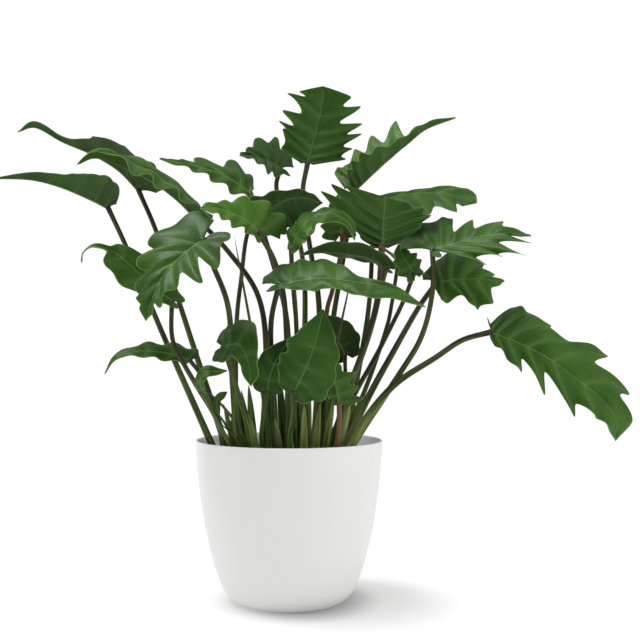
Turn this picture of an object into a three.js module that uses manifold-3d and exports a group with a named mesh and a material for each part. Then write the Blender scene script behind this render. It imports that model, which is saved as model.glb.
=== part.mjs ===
// A potted philodendron with finger-lobed leaves, in a round white cover pot.
// Millimetres, +Z up. The origin is the centre of the pot's flat base.
// The plant's front is at -Y, with +X to its right.

import * as THREE from "three";
import { mergeVertices } from "three/addons/utils/BufferGeometryUtils.js";
import Module from "manifold-3d";

const wasm = await Module();
wasm.setup();
const { Manifold, Mesh: SolidMesh } = wasm;

// ---------------------------------------------------------------- sizes

const SEAT_GAP = 0.3;

const POT_HEIGHT = 157;
const POT_RIM_RADIUS = 91.5;
const POT_FOOT_RADIUS = 59.8;
const POT_WALL = 2.2;
const POT_FLOOR = 2.6;
const POT_FILLET = 18;
const POT_SEGMENTS = 44;
const POT_OUTSIDE_STATIONS = [0, 0.8, 3, 7, 13, 20, 34, 54, 80, 112, 156.2];
const POT_INSIDE_STATIONS = [112, 80, 54, 32, 14, 4];
const POT_RIM_ROUNDING = 0.6;

const LINER_FLOOR_TOP = 4.6;
const LINER_FLOOR_BOTTOM = 3.0;
const LINER_HEIGHT = 138;
const LINER_FOOT_RADIUS = 50;
const LINER_RIM_RADIUS = 80;
const LINER_WALL = 1.2;
const LINER_LIP = 3;
const LINER_LIP_HEIGHT = 9;
const LINER_SEGMENTS = 36;

const SOIL_TOP = 134;
const SOIL_BUMP = 1.6;
const SOIL_EDGE_DROP = 2.5;
const SOIL_RINGS = 5;
const SOIL_SEGMENTS = 24;

const BLADE_THICKNESS = 0.8;
const RIB_DEPTH = 1.1;
const LOBE_PHASES = [0, 0.2, 0.55, 0.84];
const SHALLOW_PHASES = [0, 0.3, 0.7];
const SHALLOW_CUT = 0.16;
const LOBE_PEAK = 0.58;
const END_LOBE_PHASES = [0, 0.35, 0.7];
const END_LOBE_MIDDLE = 0.5;
const BASE_SHARE = 0.45;
const BASE_LEAN = 0.4;
const BASE_CUT = 0.3;
const BLADE_RINGS = [0.5, 1];
const SMALL_BLADE = 18.5;
const VEIN_CROWDING = 1.8;
const WAVY_WIDTH = 24;

const STEM_SIDES = 6;
const STEM_STEP = 40;
const STEM_SHORTFALL = 0.5;

// ---------------------------------------------------------------- leaves
//
// stem   points from the foot in the soil up to the blade's base
// rib    points of the midrib from the blade's base to its tip
// face   direction of the upper side, at the base and at the tip
// left, right   tips of the lobes on each side, looking along the midrib, as far along it and
//        off it as the flat blade has them; the last is the widest place of the end lobe
// cut    how deep the bays between the lobes go, also for one bay, as a lobe's third number
// blunt  from 1.5 for narrow pointed lobes up to 3.2 for broad ones with narrow bays
// crowd  how much the veins' roots crowd toward the blade's base, where it isn't the usual
// fold   degrees by which the halves rise; droop is how far that falls off
// wave   height of the ripples along the margin
// heel   rise of the basal lobes for each millimetre behind the base
// thick  stem radius at the foot and at the blade

const LEAVES = {
  "01": {
    stem: [
      [-58, 0, 112], [-77, 0, 154], [-107, 0, 223], [-133, 0, 281],
      [-161, 0, 348], [-178, 0, 385],
    ],
    rib: [[-178, 0, 385], [-195, -4, 393], [-223, -10, 404], [-251, -15, 410], [-286, -20, 410]],
    face: [[0.3, -0.12, 1], [0, -0.12, 1]],
    left: [[0, 38, 0.6], [12, 45], [30, 32], [49, 18], [82, 8]],
    right: [[2, 30, 0.6], [14, 36], [32, 26], [52, 14], [84, 6]],
    cut: 0.22, blunt: 2.2,
    fold: 54, droop: 14, wave: 2, heel: 0.2, thick: [4.2, 2.4],
  },
  "02": {
    stem: [
      [-50, 16, 112], [-65, 18, 154], [-84, 20, 213], [-110, 24, 289],
      [-134, 30, 363], [-154, 36, 409],
    ],
    rib: [
      [-154, 36, 409], [-176, 42, 431], [-205, 50, 449], [-238, 58, 464],
      [-267, 64, 480], [-288, 68, 476],
    ],
    face: [[0.6, -0.1, 0.8], [0.1, -0.1, 1]],
    left: [[-18, 38, 0.4], [20, 42], [60, 28], [92, 9], [136, 8]],
    right: [[-10, 34, 0.4], [22, 38], [54, 24], [90, 8], [134, 5]],
    cut: 0.2, blunt: 2.6,
    fold: 54, droop: 14, wave: 2, heel: 0.2, thick: [4.2, 2.4],
  },
  "03": {
    stem: [
      [-22, -18, 112], [-24, -18, 160], [-22, -17, 235], [-30, -16, 297],
      [-60, -12, 342], [-90, -10, 373],
    ],
    rib: [
      [-90, -10, 373], [-110, -14, 392], [-136, -18, 410], [-167, -24, 424],
      [-186, -28, 428], [-202, -30, 421],
    ],
    face: [[0.6, -0.1, 0.8], [-0.2, -0.45, 0.85]],
    left: [[-8, 24], [20, 32], [46, 35], [74, 33], [106, 16]],
    right: [[-6, 26], [14, 34], [46, 34], [78, 24], [110, 10]],
    cut: 0.2, blunt: 3,
    fold: 60, droop: 54, wave: 2, heel: 0.2, thick: [4.2, 2.4],
  },
  "04": {
    stem: [[-4, 18, 112], [-2, 21, 160], [-1, 23, 215], [-4, 28, 286], [-26, 40, 366], [-40, 44, 408]],
    rib: [[-40, 44, 408], [-66, 44, 425], [-97, 41, 435], [-133, 36, 441]],
    face: [[0.3, -0.6, 0.75], [-0.1, -0.6, 0.8]],
    left: [[-6, 9], [14, 18], [42, 16], [64, 11], [86, 6]],
    right: [[14, 36], [36, 46, 0.06], [66, 18, 0.3], [80, 8], [90, 4]],
    cut: 0.25, blunt: 2,
    fold: -4, droop: 4, wave: 3, heel: 0, thick: [4.2, 2.4],
  },
  "05": {
    stem: [
      [10, 40, 112], [13, 42, 160], [14, 46, 214], [17, 58, 308],
      [10, 70, 365], [-13, 85, 416], [-9, 90, 443],
    ],
    rib: [[-9, 90, 443], [-24, 80, 449], [-38, 69, 451], [-52, 58, 449]],
    face: [[-0.1, -0.8, 0.6], [-0.3, -0.8, 0.5]],
    left: [[-12, 6], [8, 20], [32, 30], [42, 16], [50, 8]],
    right: [[-12, 36], [6, 45], [24, 33], [40, 12], [50, 6]],
    cut: 0.2, blunt: 2,
    fold: 6, droop: 6, wave: 2, heel: 0, thick: [4.2, 2.4],
  },
  "06": {
    stem: [
      [24, 18, 112], [26, 20, 154], [31, 26, 255], [30, 30, 302],
      [22, 35, 347], [14, 38, 403], [19, 40, 437],
    ],
    rib: [[19, 40, 437], [25, 40, 460], [31, 40, 483], [35, 39, 503], [35, 38, 516]],
    face: [[0, -1, 0.15], [0.1, -1, 0.1]],
    left: [[8, 30, 0.5], [28, 34], [36, 40, 0.15], [48, 39, 0.4], [73, 37, 0.5], [75, 24, 0.42]],
    right: [
      [14, 37, 0.6], [27, 41, 0.2], [44, 47, 0.28], [53, 45, 0.32], [66, 40, 0.5],
      [72, 28, 0.4],
    ],
    cut: 0.15, blunt: 1.6,
    fold: 14, droop: 20, wave: 2, heel: 0.1, thick: [4.4, 2.5],
  },
  "07": {
    stem: [
      [30, 34, 112], [33, 32, 154], [36, 29, 194], [45, 30, 274],
      [50, 33, 307], [63, 38, 384], [69, 40, 411],
    ],
    rib: [[69, 40, 411], [96, 42, 436], [124, 45, 460], [143, 48, 475], [174, 50, 487]],
    face: [[-0.65, -0.05, 0.75], [-0.4, -0.05, 0.9]],
    left: [
      [2, 44, 0.5], [14, 43, 0.06], [37, 55, 0.3], [60, 54, 0.5], [88, 43, 0.6],
      [95, 10, 0.75], [112, 6, 0.05],
    ],
    right: [[2, 26, 0.5], [12, 30], [24, 29], [43, 20], [68, 11], [90, 8, 0.05], [110, 6, 0.05]],
    cut: 0.12, blunt: 1.6,
    fold: 54, droop: 14, wave: 2, heel: 0.1, thick: [4.2, 2.4],
  },
  "08": {
    stem: [
      [40, -8, 112], [45, -9, 157], [55, -12, 196], [76, -16, 258],
      [86, -20, 300], [89, -25, 344],
    ],
    rib: [[89, -25, 344], [90, -25, 362], [91, -25, 377], [93, -24, 391]],
    face: [[0, 1, 0.1], [0.1, 1, 0.2]],
    left: [[6, 20], [20, 36], [34, 45], [43, 37], [46, 20]],
    right: [[6, 20], [22, 36], [45, 63], [54, 54, 0.3], [55, 40, 0.3]],
    cut: 0.12, blunt: 1.8,
    fold: 10, droop: 10, wave: 2, heel: 0.1, thick: [4.4, 3],
  },
  "09": {
    stem: [[52, 10, 112], [58, 12, 160], [68, 16, 215], [80, 20, 290], [84, 22, 350], [84, 24, 394]],
    rib: [[84, 24, 394], [112, 22, 401], [145, 18, 403], [170, 10, 398], [186, 4, 390]],
    face: [[-0.2, -0.6, 0.8], [0.2, -0.6, 0.8]],
    left: [[-8, 10], [15, 10], [40, 8], [62, 14], [84, 24], [100, 18]],
    right: [[-8, 20], [16, 34], [36, 46], [60, 43], [98, 35, 0.35], [101, 16, 0.4]],
    cut: 0.08, blunt: 3,
    fold: 0, droop: 4, wave: 1, heel: 0, thick: [3.8, 2.3],
  },
  "10": {
    stem: [
      [38, -22, 112], [64, -22, 158], [102, -25, 217], [126, -30, 257],
      [136, -34, 299], [136, -34, 340],
    ],
    rib: [[136, -34, 340], [156, -40, 345], [177, -48, 350], [199, -58, 352], [221, -68, 348]],
    face: [[-0.4, -0.6, 0.7], [0.1, -0.62, 0.79]],
    left: [
      [-33, 50, 0.4], [4, 55, 0.1], [20, 54, 0.1], [37, 40, 0.66], [62, 31, 0.62],
      [80, 9, 0.5],
    ],
    right: [
      [4, 16, 0.3], [58, 50, 0.85], [77, 43, 0.45], [97, 40, 0.28], [97, 15, 0.55],
      [86, 4, 0.6],
    ],
    cut: 0.3, blunt: 1.6, crowd: 2.2,
    fold: 0, droop: 4, wave: 3, heel: 0, thick: [4.2, 2.4],
  },
  "11": {
    stem: [
      [32, -34, 112], [53, -31, 154], [76, -28, 201], [102, -20, 245],
      [127, -8, 287], [146, 0, 312],
    ],
    rib: [[146, 0, 312], [165, -6, 314], [188, -12, 314], [208, -18, 311]],
    face: [[-0.4, -0.7, 0.7], [0.4, -0.7, 0.6]],
    left: [[-14, 18], [2, 42], [20, 50], [42, 29], [54, 11, 0.3], [63, 3, 0.42]],
    right: [[0, 14], [8, 32, 0.1], [27, 26, 0.16], [43, 44, 0.05], [60, 38, 0.22], [63, 3.5, 0.5]],
    cut: 0.15, blunt: 2.2,
    fold: 0, droop: 4, wave: 3, heel: 0, thick: [4.6, 2.6],
  },
  "12": {
    stem: [
      [36, -46, 112], [58, -46, 155], [75, -44, 185], [101, -42, 213],
      [137, -34, 236], [165, -26, 254], [194, -20, 262],
    ],
    rib: [
      [194, -20, 262], [220, -28, 251], [245, -35, 237], [269, -42, 218], [290, -48, 200],
      [303, -52, 180], [302, -54, 160],
    ],
    face: [[0.25, -0.8, 0.55], [0.6, -0.75, 0.2]],
    left: [
      [8, 42, 0.55], [24, 45, 0.02], [45, 43, 0.15], [66, 37, 0.18], [101, 59, 0],
      [131, 41, 0.5], [148, 23, 0.45],
    ],
    right: [
      [5, 13], [20, 22, 0.02], [44, 37, 0.04], [77, 46, 0.58], [112, 46, 0.62],
      [126, 29, 0.32], [150, 18, 0.02],
    ],
    cut: 0.3, blunt: 1.8, crowd: 2.2,
    fold: 12, droop: 14, wave: 3, heel: 0, thick: [4.6, 2.6],
  },
  "13": {
    stem: [
      [-32, -44, 112], [-47, -54, 161], [-51, -66, 217], [-54, -84, 280],
      [-67, -100, 319], [-74, -110, 340],
    ],
    rib: [[-74, -110, 340], [-88, -118, 328], [-103, -126, 312], [-113, -132, 292], [-120, -134, 268]],
    face: [[-0.4, -0.8, 0.5], [-0.7, -0.75, 0.2]],
    left: [[-14, 21], [20, 42, 0.12], [47, 44, 0.5], [61, 24, 0.3], [78, 16, 0.04], [86, 7, 0.35]],
    right: [
      [-18, 38], [27, 43, 0.06], [47, 34, 0.22], [68, 20, 0.2], [76, 15, 0.02], [85, 8, 0.03],
    ],
    cut: 0.3, blunt: 3.2,
    fold: 16, droop: 14, wave: 3, heel: -0.1, thick: [4, 2.4],
  },
  "14": {
    stem: [
      [-54, -36, 112], [-60, -50, 161], [-69, -61, 187], [-84, -70, 212],
      [-97, -76, 235], [-106, -72, 256], [-107, -64, 290],
    ],
    rib: [
      [-107, -64, 290], [-127, -64, 304], [-145, -65, 322], [-162, -66, 335], [-177, -68, 339],
      [-187, -70, 333], [-188, -71, 323],
    ],
    face: [[0.3, -0.6, 0.75], [-0.3, -0.5, 0.8]],
    left: [[-8, 8], [14, 18], [42, 26], [70, 21], [92, 2.4, 0.6]],
    right: [[-8, 10], [14, 22], [38, 26], [68, 13], [92, 2.4, 0.5]],
    cut: 0.03, blunt: 3,
    fold: 12, droop: 10, wave: 1.5, heel: 0, thick: [3.6, 2.1],
  },
  "15": {
    stem: [[-60, -20, 112], [-63, -38, 158], [-72, -50, 198], [-81, -56, 221], [-91, -60, 235]],
    rib: [
      [-91, -60, 235], [-105, -60, 240], [-123, -60, 243], [-142, -61, 243],
      [-159, -62, 237], [-169, -63, 222],
    ],
    face: [[0.1, -0.6, 0.8], [-0.3, -0.5, 0.8]],
    left: [[3, 8], [24, 11], [46, 9], [68, 4]],
    right: [[0, 23], [22, 18], [44, 16], [66, 7]],
    cut: 0.12, blunt: 3,
    fold: 4, droop: 14, wave: 2.5, heel: 0, thick: [3.2, 1.9],
  },
  "16": {
    stem: [[-46, -50, 112], [-49, -55, 136], [-56, -65, 160], [-73, -78, 198], [-77, -83, 206]],
    rib: [[-77, -83, 206], [-80, -84, 216], [-74, -84, 225], [-64, -83, 225], [-55, -81, 226]],
    face: [[-0.9, -0.5, 0], [0, -0.6, 0.8]],
    left: [[3, 7], [14, 8], [24, 7], [34, 4]],
    right: [[3, 7], [14, 8], [24, 7], [34, 4]],
    cut: 0.06, blunt: 3,
    fold: 10, droop: 10, wave: 1, heel: 0, thick: [3, 1.7],
  },
  "17": {
    stem: [[-26, -60, 112], [-34, -70, 158], [-42, -82, 195], [-51, -92, 226], [-58, -100, 247]],
    rib: [[-58, -100, 247], [-44, -114, 249], [-36, -124, 238], [-33, -130, 225], [-32, -132, 213]],
    face: [[-0.2, -0.85, 0.45], [-0.2, -0.95, 0.1]],
    left: [[-6, 22], [4, 24], [18, 25], [38, 10], [56, 7]],
    right: [[-8, 13], [2, 16], [12, 16], [36, 9], [54, 6]],
    cut: 0.08, blunt: 3,
    fold: 8, droop: 14, wave: 2, heel: 0, thick: [3.6, 2.2],
  },
  "18": {
    stem: [[-20, -46, 112], [-25, -58, 162], [-20, -62, 206]],
    rib: [[-20, -62, 206], [-17, -66, 222], [-10, -70, 238], [2, -72, 256]],
    face: [[0, -1, 0.2], [0.1, -1, 0.1]],
    left: [[2, 13], [16, 17], [34, 14], [46, 7]],
    right: [[2, 13], [16, 16], [34, 13], [46, 7]],
    cut: 0.08, blunt: 3,
    fold: 10, droop: 10, wave: 2, heel: 0, thick: [3, 2],
  },
  "19": {
    stem: [[0, -60, 112], [1, -72, 163], [3, -84, 182], [5, -95, 208]],
    rib: [[5, -95, 208], [12, -98, 222], [19, -100, 238], [25, -102, 258], [30, -104, 280]],
    face: [[0, -1, 0.15], [0, -1, 0.1]],
    left: [[0, 16], [14, 24], [24, 26], [42, 24, 0.2], [60, 13]],
    right: [[-5, 14], [6, 27], [24, 28], [44, 23], [60, 13]],
    cut: 0.1, blunt: 3,
    fold: 8, droop: 10, wave: 3, heel: 0.2, thick: [3.8, 2.3],
  },
  "20": {
    stem: [[50, 24, 112], [54, 22, 160], [56, 14, 205], [55, -2, 241]],
    rib: [[55, -2, 241], [49, -4, 252], [42, -6, 265], [34, -8, 279]],
    face: [[0.3, 0.9, 0.2], [0.2, 0.95, 0.1]],
    left: [[-5, 14], [10, 22], [26, 19], [37, 10]],
    right: [[-5, 14], [10, 22], [26, 19], [37, 10]],
    cut: 0.1, blunt: 3,
    fold: 14, droop: 10, wave: 2, heel: 0.1, thick: [3.2, 2],
  },
  "21": {
    stem: [[34, -54, 112], [37, -62, 136], [43, -70, 160], [45, -78, 179], [45, -85, 197]],
    rib: [[45, -85, 197], [42, -86, 210], [38, -87, 224], [36, -88, 238]],
    face: [[0.1, 1, 0.1], [0.1, 1, 0.1]],
    left: [[0, 22], [11, 20], [23, 21], [34, 9]],
    right: [[0, 8], [10, 11], [22, 11], [33, 6]],
    cut: 0.4, blunt: 1.5,
    fold: 10, droop: 8, wave: 1.5, heel: 0, thick: [3.4, 2.2],
  },
  "22": {
    stem: [[-12, -30, 112], [-13, -40, 170], [-16, -52, 225], [-16, -68, 270], [-9, -80, 303]],
    rib: [[-9, -80, 303], [27, -98, 307], [61, -114, 302], [90, -128, 295], [114, -140, 279]],
    face: [[-0.2, -0.65, 0.75], [0.2, -0.7, 0.7]],
    left: [[-20, 25], [0, 40], [22, 36], [48, 25], [74, 9], [112, 4]],
    right: [[-10, 8], [8, 9], [38, 20], [66, 15, 0.2], [92, 21], [124, 11]],
    cut: 0.06, blunt: 3,
    fold: 8, droop: 14, wave: 2, heel: -0.1, thick: [4, 2.4],
  },
  "23": {
    stem: [
      [26, -24, 112], [44, -25, 168], [60, -30, 216], [79, -37, 268],
      [86, -42, 300], [91, -45, 321],
    ],
    rib: [[91, -45, 321], [78, -44, 330], [56, -42, 335], [32, -38, 337], [10, -36, 334]],
    face: [[0.4, 0.3, 0.9], [0, 0.35, 0.93]],
    left: [[-5, 14], [16, 18], [42, 18], [68, 9]],
    right: [[-5, 14], [16, 18], [42, 18], [68, 9]],
    cut: 0.1, blunt: 3,
    fold: 24, droop: 14, wave: 2, heel: 0, thick: [3.4, 2],
  },
  "24": {
    stem: [
      [2, -36, 112], [0, -36, 170], [-1, -37, 230], [-4, -38, 290], [-13, -46, 326],
      [-28, -57, 353],
    ],
    rib: [[-28, -57, 353], [-38, -64, 362], [-52, -74, 368], [-66, -83, 371], [-79, -90, 369]],
    face: [[0.5, -0.8, 0.35], [-0.2, -0.65, 0.75]],
    left: [[-5, 9], [14, 13, 0.2], [34, 17, 0.25], [48, 14], [58, 8]],
    right: [[-17, 41], [7, 36, 0.2], [24, 24], [42, 12], [57, 8]],
    cut: 0.12, blunt: 2.6,
    fold: 4, droop: 8, wave: 3, heel: 0, thick: [4, 2.4],
  },
  "25": {
    stem: [
      [-46, 30, 112], [-56, 30, 154], [-54, 26, 215], [-52, 18, 276],
      [-48, 10, 313], [-41, 1, 360], [-26, -4, 378],
    ],
    rib: [[-26, -4, 378], [-4, -5, 392], [16, -6, 394], [33, -8, 388]],
    face: [[-0.3, 0.5, 0.75], [0.1, 0.55, 0.8]],
    left: [[-8, 30], [8, 40], [24, 42], [44, 36], [54, 20]],
    right: [[-14, 22], [2, 26], [22, 15], [44, 9], [56, 5]],
    cut: 0.1, blunt: 2.6,
    fold: 14, droop: 18, wave: 2, heel: 0, thick: [3.6, 2.1],
  },
  "26": {
    stem: [[12, -20, 112], [10, -26, 200], [6, -31, 280], [3, -34, 320], [2, -37, 340]],
    rib: [
      [2, -37, 340], [10, -44, 358], [24, -52, 368], [40, -60, 370], [55, -64, 360],
      [60, -66, 344],
    ],
    face: [[-0.3, -0.5, 0.8], [0.4, -0.5, 0.75]],
    left: [[2, 16], [20, 38], [38, 28, 0.3], [58, 16], [80, 7]],
    right: [[0, 12], [16, 25], [38, 34], [57, 26, 0.2], [80, 7]],
    cut: 0.26, blunt: 2,
    fold: 4, droop: 14, wave: 3, heel: 0, thick: [3.6, 2.1],
  },
  "27": {
    stem: [
      [20, 2, 112], [28, 9, 155], [31, 12, 215], [37, 14, 281],
      [43, 14, 304], [52, 13, 342], [53, 12, 363],
    ],
    rib: [[53, 12, 363], [53, 11, 375], [51, 9, 388], [49, 7, 400]],
    face: [[0.1, 0.9, 0.3], [0.1, 0.9, 0.2]],
    left: [[-4, 14], [8, 17], [20, 16], [30, 9]],
    right: [[-6, 20], [6, 22], [18, 18], [30, 10]],
    cut: 0.2, blunt: 2.2,
    fold: 10, droop: 8, wave: 2, heel: 0, thick: [3.6, 2.3],
  },
  "28": {
    stem: [[44, 36, 112], [57, 32, 154], [77, 30, 204], [98, 34, 263], [105, 38, 289], [113, 44, 337]],
    rib: [[113, 44, 337], [103, 43, 346], [90, 42, 351], [73, 41, 345]],
    face: [[0.3, -0.2, 0.9], [-0.2, -0.2, 1]],
    left: [[-3, 8], [10, 11], [25, 10], [36, 4]],
    right: [[-3, 8], [10, 11], [25, 10], [36, 4]],
    cut: 0.12, blunt: 2.4,
    fold: 12, droop: 10, wave: 2, heel: 0, thick: [3.4, 2],
  },
  "29": {
    stem: [
      [30, 8, 112], [41, 6, 156], [49, 4, 173], [70, 2, 212],
      [90, 1, 247], [111, 0, 289], [123, 0, 320],
    ],
    rib: [[123, 0, 320], [117, -1, 330], [111, 1, 340], [108, 4, 350]],
    face: [[0.4, -0.8, 0.4], [0.3, -0.8, 0.3]],
    left: [[-4, 12], [8, 18], [18, 16], [26, 8]],
    right: [[-4, 12], [8, 18], [18, 16], [26, 8]],
    cut: 0.2, blunt: 2.2,
    fold: 8, droop: 10, wave: 2, heel: 0, thick: [3.6, 2.2],
  },
};

const GREEN_STEMS = ["16", "18", "19"];

const LOOKS = {
  pot: { color: "#f1f1ef", roughness: 0.35, metalness: 0 },
  liner: { color: "#2b2723", roughness: 0.6, metalness: 0 },
  soil: { color: "#3a2b20", roughness: 0.95, metalness: 0 },
  blade: { color: "#2f6130", roughness: 0.4, metalness: 0 },
  stem: { color: "#4c4a2c", roughness: 0.5, metalness: 0 },
};

// ---------------------------------------------------------------- curves

function measured(list, steps) {
  const points = list.map((p) => new THREE.Vector3(...p));
  const stops = new THREE.CatmullRomCurve3(points, false, "catmullrom", 0.5).getPoints(steps);
  const reach = [0];
  for (let i = 1; i <= steps; i += 1) {
    reach.push(reach[i - 1] + stops[i].distanceTo(stops[i - 1]));
  }
  return { stops, reach, length: reach[steps] };
}

function pointAt(line, x) {
  const { stops, reach } = line;
  let i = 1;
  while (i < reach.length - 1 && reach[i] < x) {
    i += 1;
  }
  const f = (x - reach[i - 1]) / (reach[i] - reach[i - 1]);
  return stops[i - 1].clone().lerp(stops[i], f);
}

function directionAt(line, x, span) {
  const h = span * line.length;
  const clamped = Math.min(Math.max(x, h), line.length - h);
  return pointAt(line, clamped + h).sub(pointAt(line, clamped - h)).normalize();
}

// ---------------------------------------------------------------- solids

function solid(positions, triangles) {
  const mesh = new SolidMesh({
    numProp: 3,
    vertProperties: new Float32Array(positions),
    triVerts: new Uint32Array(triangles),
  });
  return new Manifold(mesh);
}

function outward(positions, triangles) {
  let volume = 0;
  for (let i = 0; i < triangles.length; i += 3) {
    const [a, b, c] = [0, 1, 2].map((k) => new THREE.Vector3().fromArray(positions, 3 * triangles[i + k]));
    volume += a.dot(b.cross(c));
  }
  if (volume > 0) {
    return triangles;
  }
  const turned = [];
  for (let i = 0; i < triangles.length; i += 3) {
    turned.push(triangles[i], triangles[i + 2], triangles[i + 1]);
  }
  return turned;
}

function turnedSolid(profile, segments) {
  const outline = profile.map(([radius, z]) => new THREE.Vector2(radius, z));
  const geometry = new THREE.LatheGeometry(outline, segments);
  geometry.rotateX(Math.PI / 2);
  geometry.deleteAttribute("normal");
  geometry.deleteAttribute("uv");
  const merged = mergeVertices(geometry, 1e-4);
  const index = merged.index.array;
  const triangles = [];
  for (let i = 0; i < index.length; i += 3) {
    const [a, b, c] = index.slice(i, i + 3);
    if (a !== b && b !== c && a !== c) {
      triangles.push(a, b, c);
    }
  }
  const positions = merged.attributes.position.array;
  return solid(positions, outward(positions, triangles));
}

// ---------------------------------------------------------------- blades

function halfOutline(leaf, length, side) {
  const lobes = side > 0 ? leaf.left : leaf.right;
  const end = lobes.length - 1;
  const [firstX, firstY] = lobes[0];
  const knots = [[0, firstX - BASE_LEAN * firstY, BASE_SHARE * firstY]];
  lobes.forEach(([x, y], k) => knots.push([k + (k < end ? LOBE_PEAK : END_LOBE_MIDDLE), x, y]));
  knots.push([end + 1, length, 0]);
  return knots;
}

function throughKnots(knots, phase) {
  let i = 1;
  while (i < knots.length - 1 && knots[i][0] < phase) {
    i += 1;
  }
  const slope = (a, b, axis) => (knots[b][axis] - knots[a][axis]) / (knots[b][0] - knots[a][0]);
  const before = Math.max(i - 2, 0);
  const after = Math.min(i + 1, knots.length - 1);
  const h = knots[i][0] - knots[i - 1][0];
  const t = (phase - knots[i - 1][0]) / h;
  return [1, 2].map((axis) => {
    const leave = h * slope(before, i, axis) * (t ** 3 - 2 * t ** 2 + t);
    const arrive = h * slope(i - 1, after, axis) * (t ** 3 - t ** 2);
    const blend = 3 * t ** 2 - 2 * t ** 3;
    return (1 - blend) * knots[i - 1][axis] + leave + blend * knots[i][axis] + arrive;
  });
}

function bayDepth(leaf, side, phase) {
  const lobes = side > 0 ? leaf.left : leaf.right;
  const end = lobes.length - 1;
  const k = Math.min(Math.floor(phase), end);
  const p = phase - k;
  const peak = k < end ? LOBE_PEAK : END_LOBE_MIDDLE;
  const bent = p <= peak ? (0.5 * p) / peak : 0.5 + (0.5 * (p - peak)) / (1 - peak);
  const bay = p <= peak ? k : k + 1;
  if (bay > end) {
    return 0;
  }
  const usual = bay > 0 ? leaf.cut : BASE_CUT;
  return (lobes[bay][2] ?? usual) * Math.abs(Math.cos(Math.PI * bent)) ** leaf.blunt;
}

function flatPoint(leaf, length, u, rho, side) {
  const phase = leaf.left.length * u;
  const [edgeX, edgeY] = throughKnots(halfOutline(leaf, length, side), phase);
  const start = length * u ** (leaf.crowd ?? VEIN_CROWDING);
  const reach = rho * (1 - bayDepth(leaf, side, phase));
  return [start + reach * (edgeX - start), reach * edgeY];
}

function widest(leaf) {
  return Math.max(...[...leaf.left, ...leaf.right].map((lobe) => lobe[1]));
}

function bladeRows(leaf, us, rings) {
  const line = measured(leaf.rib, 48);
  const [first, last] = leaf.face.map((f) => new THREE.Vector3(...f).normalize());
  const half = widest(leaf);
  const place = (u, rho, side) => {
    const [x, y] = flatPoint(leaf, line.length, u, rho, side);
    const tangent = directionAt(line, x, 0.1);
    const spot = pointAt(line, Math.min(Math.max(x, 0), line.length));
    spot.addScaledVector(tangent, Math.min(x, 0) + Math.max(x - line.length, 0));
    const share = Math.min(Math.max(x / line.length, 0), 1);
    const up = first.clone().lerp(last, share);
    up.addScaledVector(tangent, -up.dot(tangent)).normalize();
    const left = up.clone().cross(tangent);
    const tilt = THREE.MathUtils.degToRad(leaf.fold - (leaf.droop * y) / half);
    const swing = Math.sin(2 * Math.PI * leaf.left.length * u + 1.3 * side);
    const ripple = leaf.wave * rho * rho * Math.min(1, y / WAVY_WIDTH) * swing;
    const fade = Math.min(1, 6 * u, 6 * (1 - u));
    spot.addScaledVector(left, side * y * Math.cos(tilt));
    spot.addScaledVector(up, y * Math.sin(tilt) + ripple * fade + leaf.heel * Math.max(-x, 0));
    return spot;
  };
  const rows = us.map((u) => {
    if (u >= 1) {
      return [place(1, 0, 1)];
    }
    const leftHalf = [...rings].reverse().map((rho) => place(u, rho, 1));
    const rightHalf = rings.map((rho) => place(u, rho, -1));
    return [...leftHalf, place(u, 0, 1), ...rightHalf];
  });
  return rows;
}

function bladeStations(leaf) {
  const count = leaf.left.length;
  const us = [];
  for (let k = 0; k < count; k += 1) {
    const bays = [leaf.left, leaf.right].flatMap((lobes) => lobes.slice(Math.max(k, 1), k + 2));
    const deepest = Math.max(...bays.map((lobe) => lobe[2] ?? leaf.cut));
    const phases = deepest < SHALLOW_CUT ? SHALLOW_PHASES : LOBE_PHASES;
    for (const phase of k < count - 1 ? phases : END_LOBE_PHASES) {
      us.push((k + phase) / count);
    }
  }
  us.push(1);
  return us;
}

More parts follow.
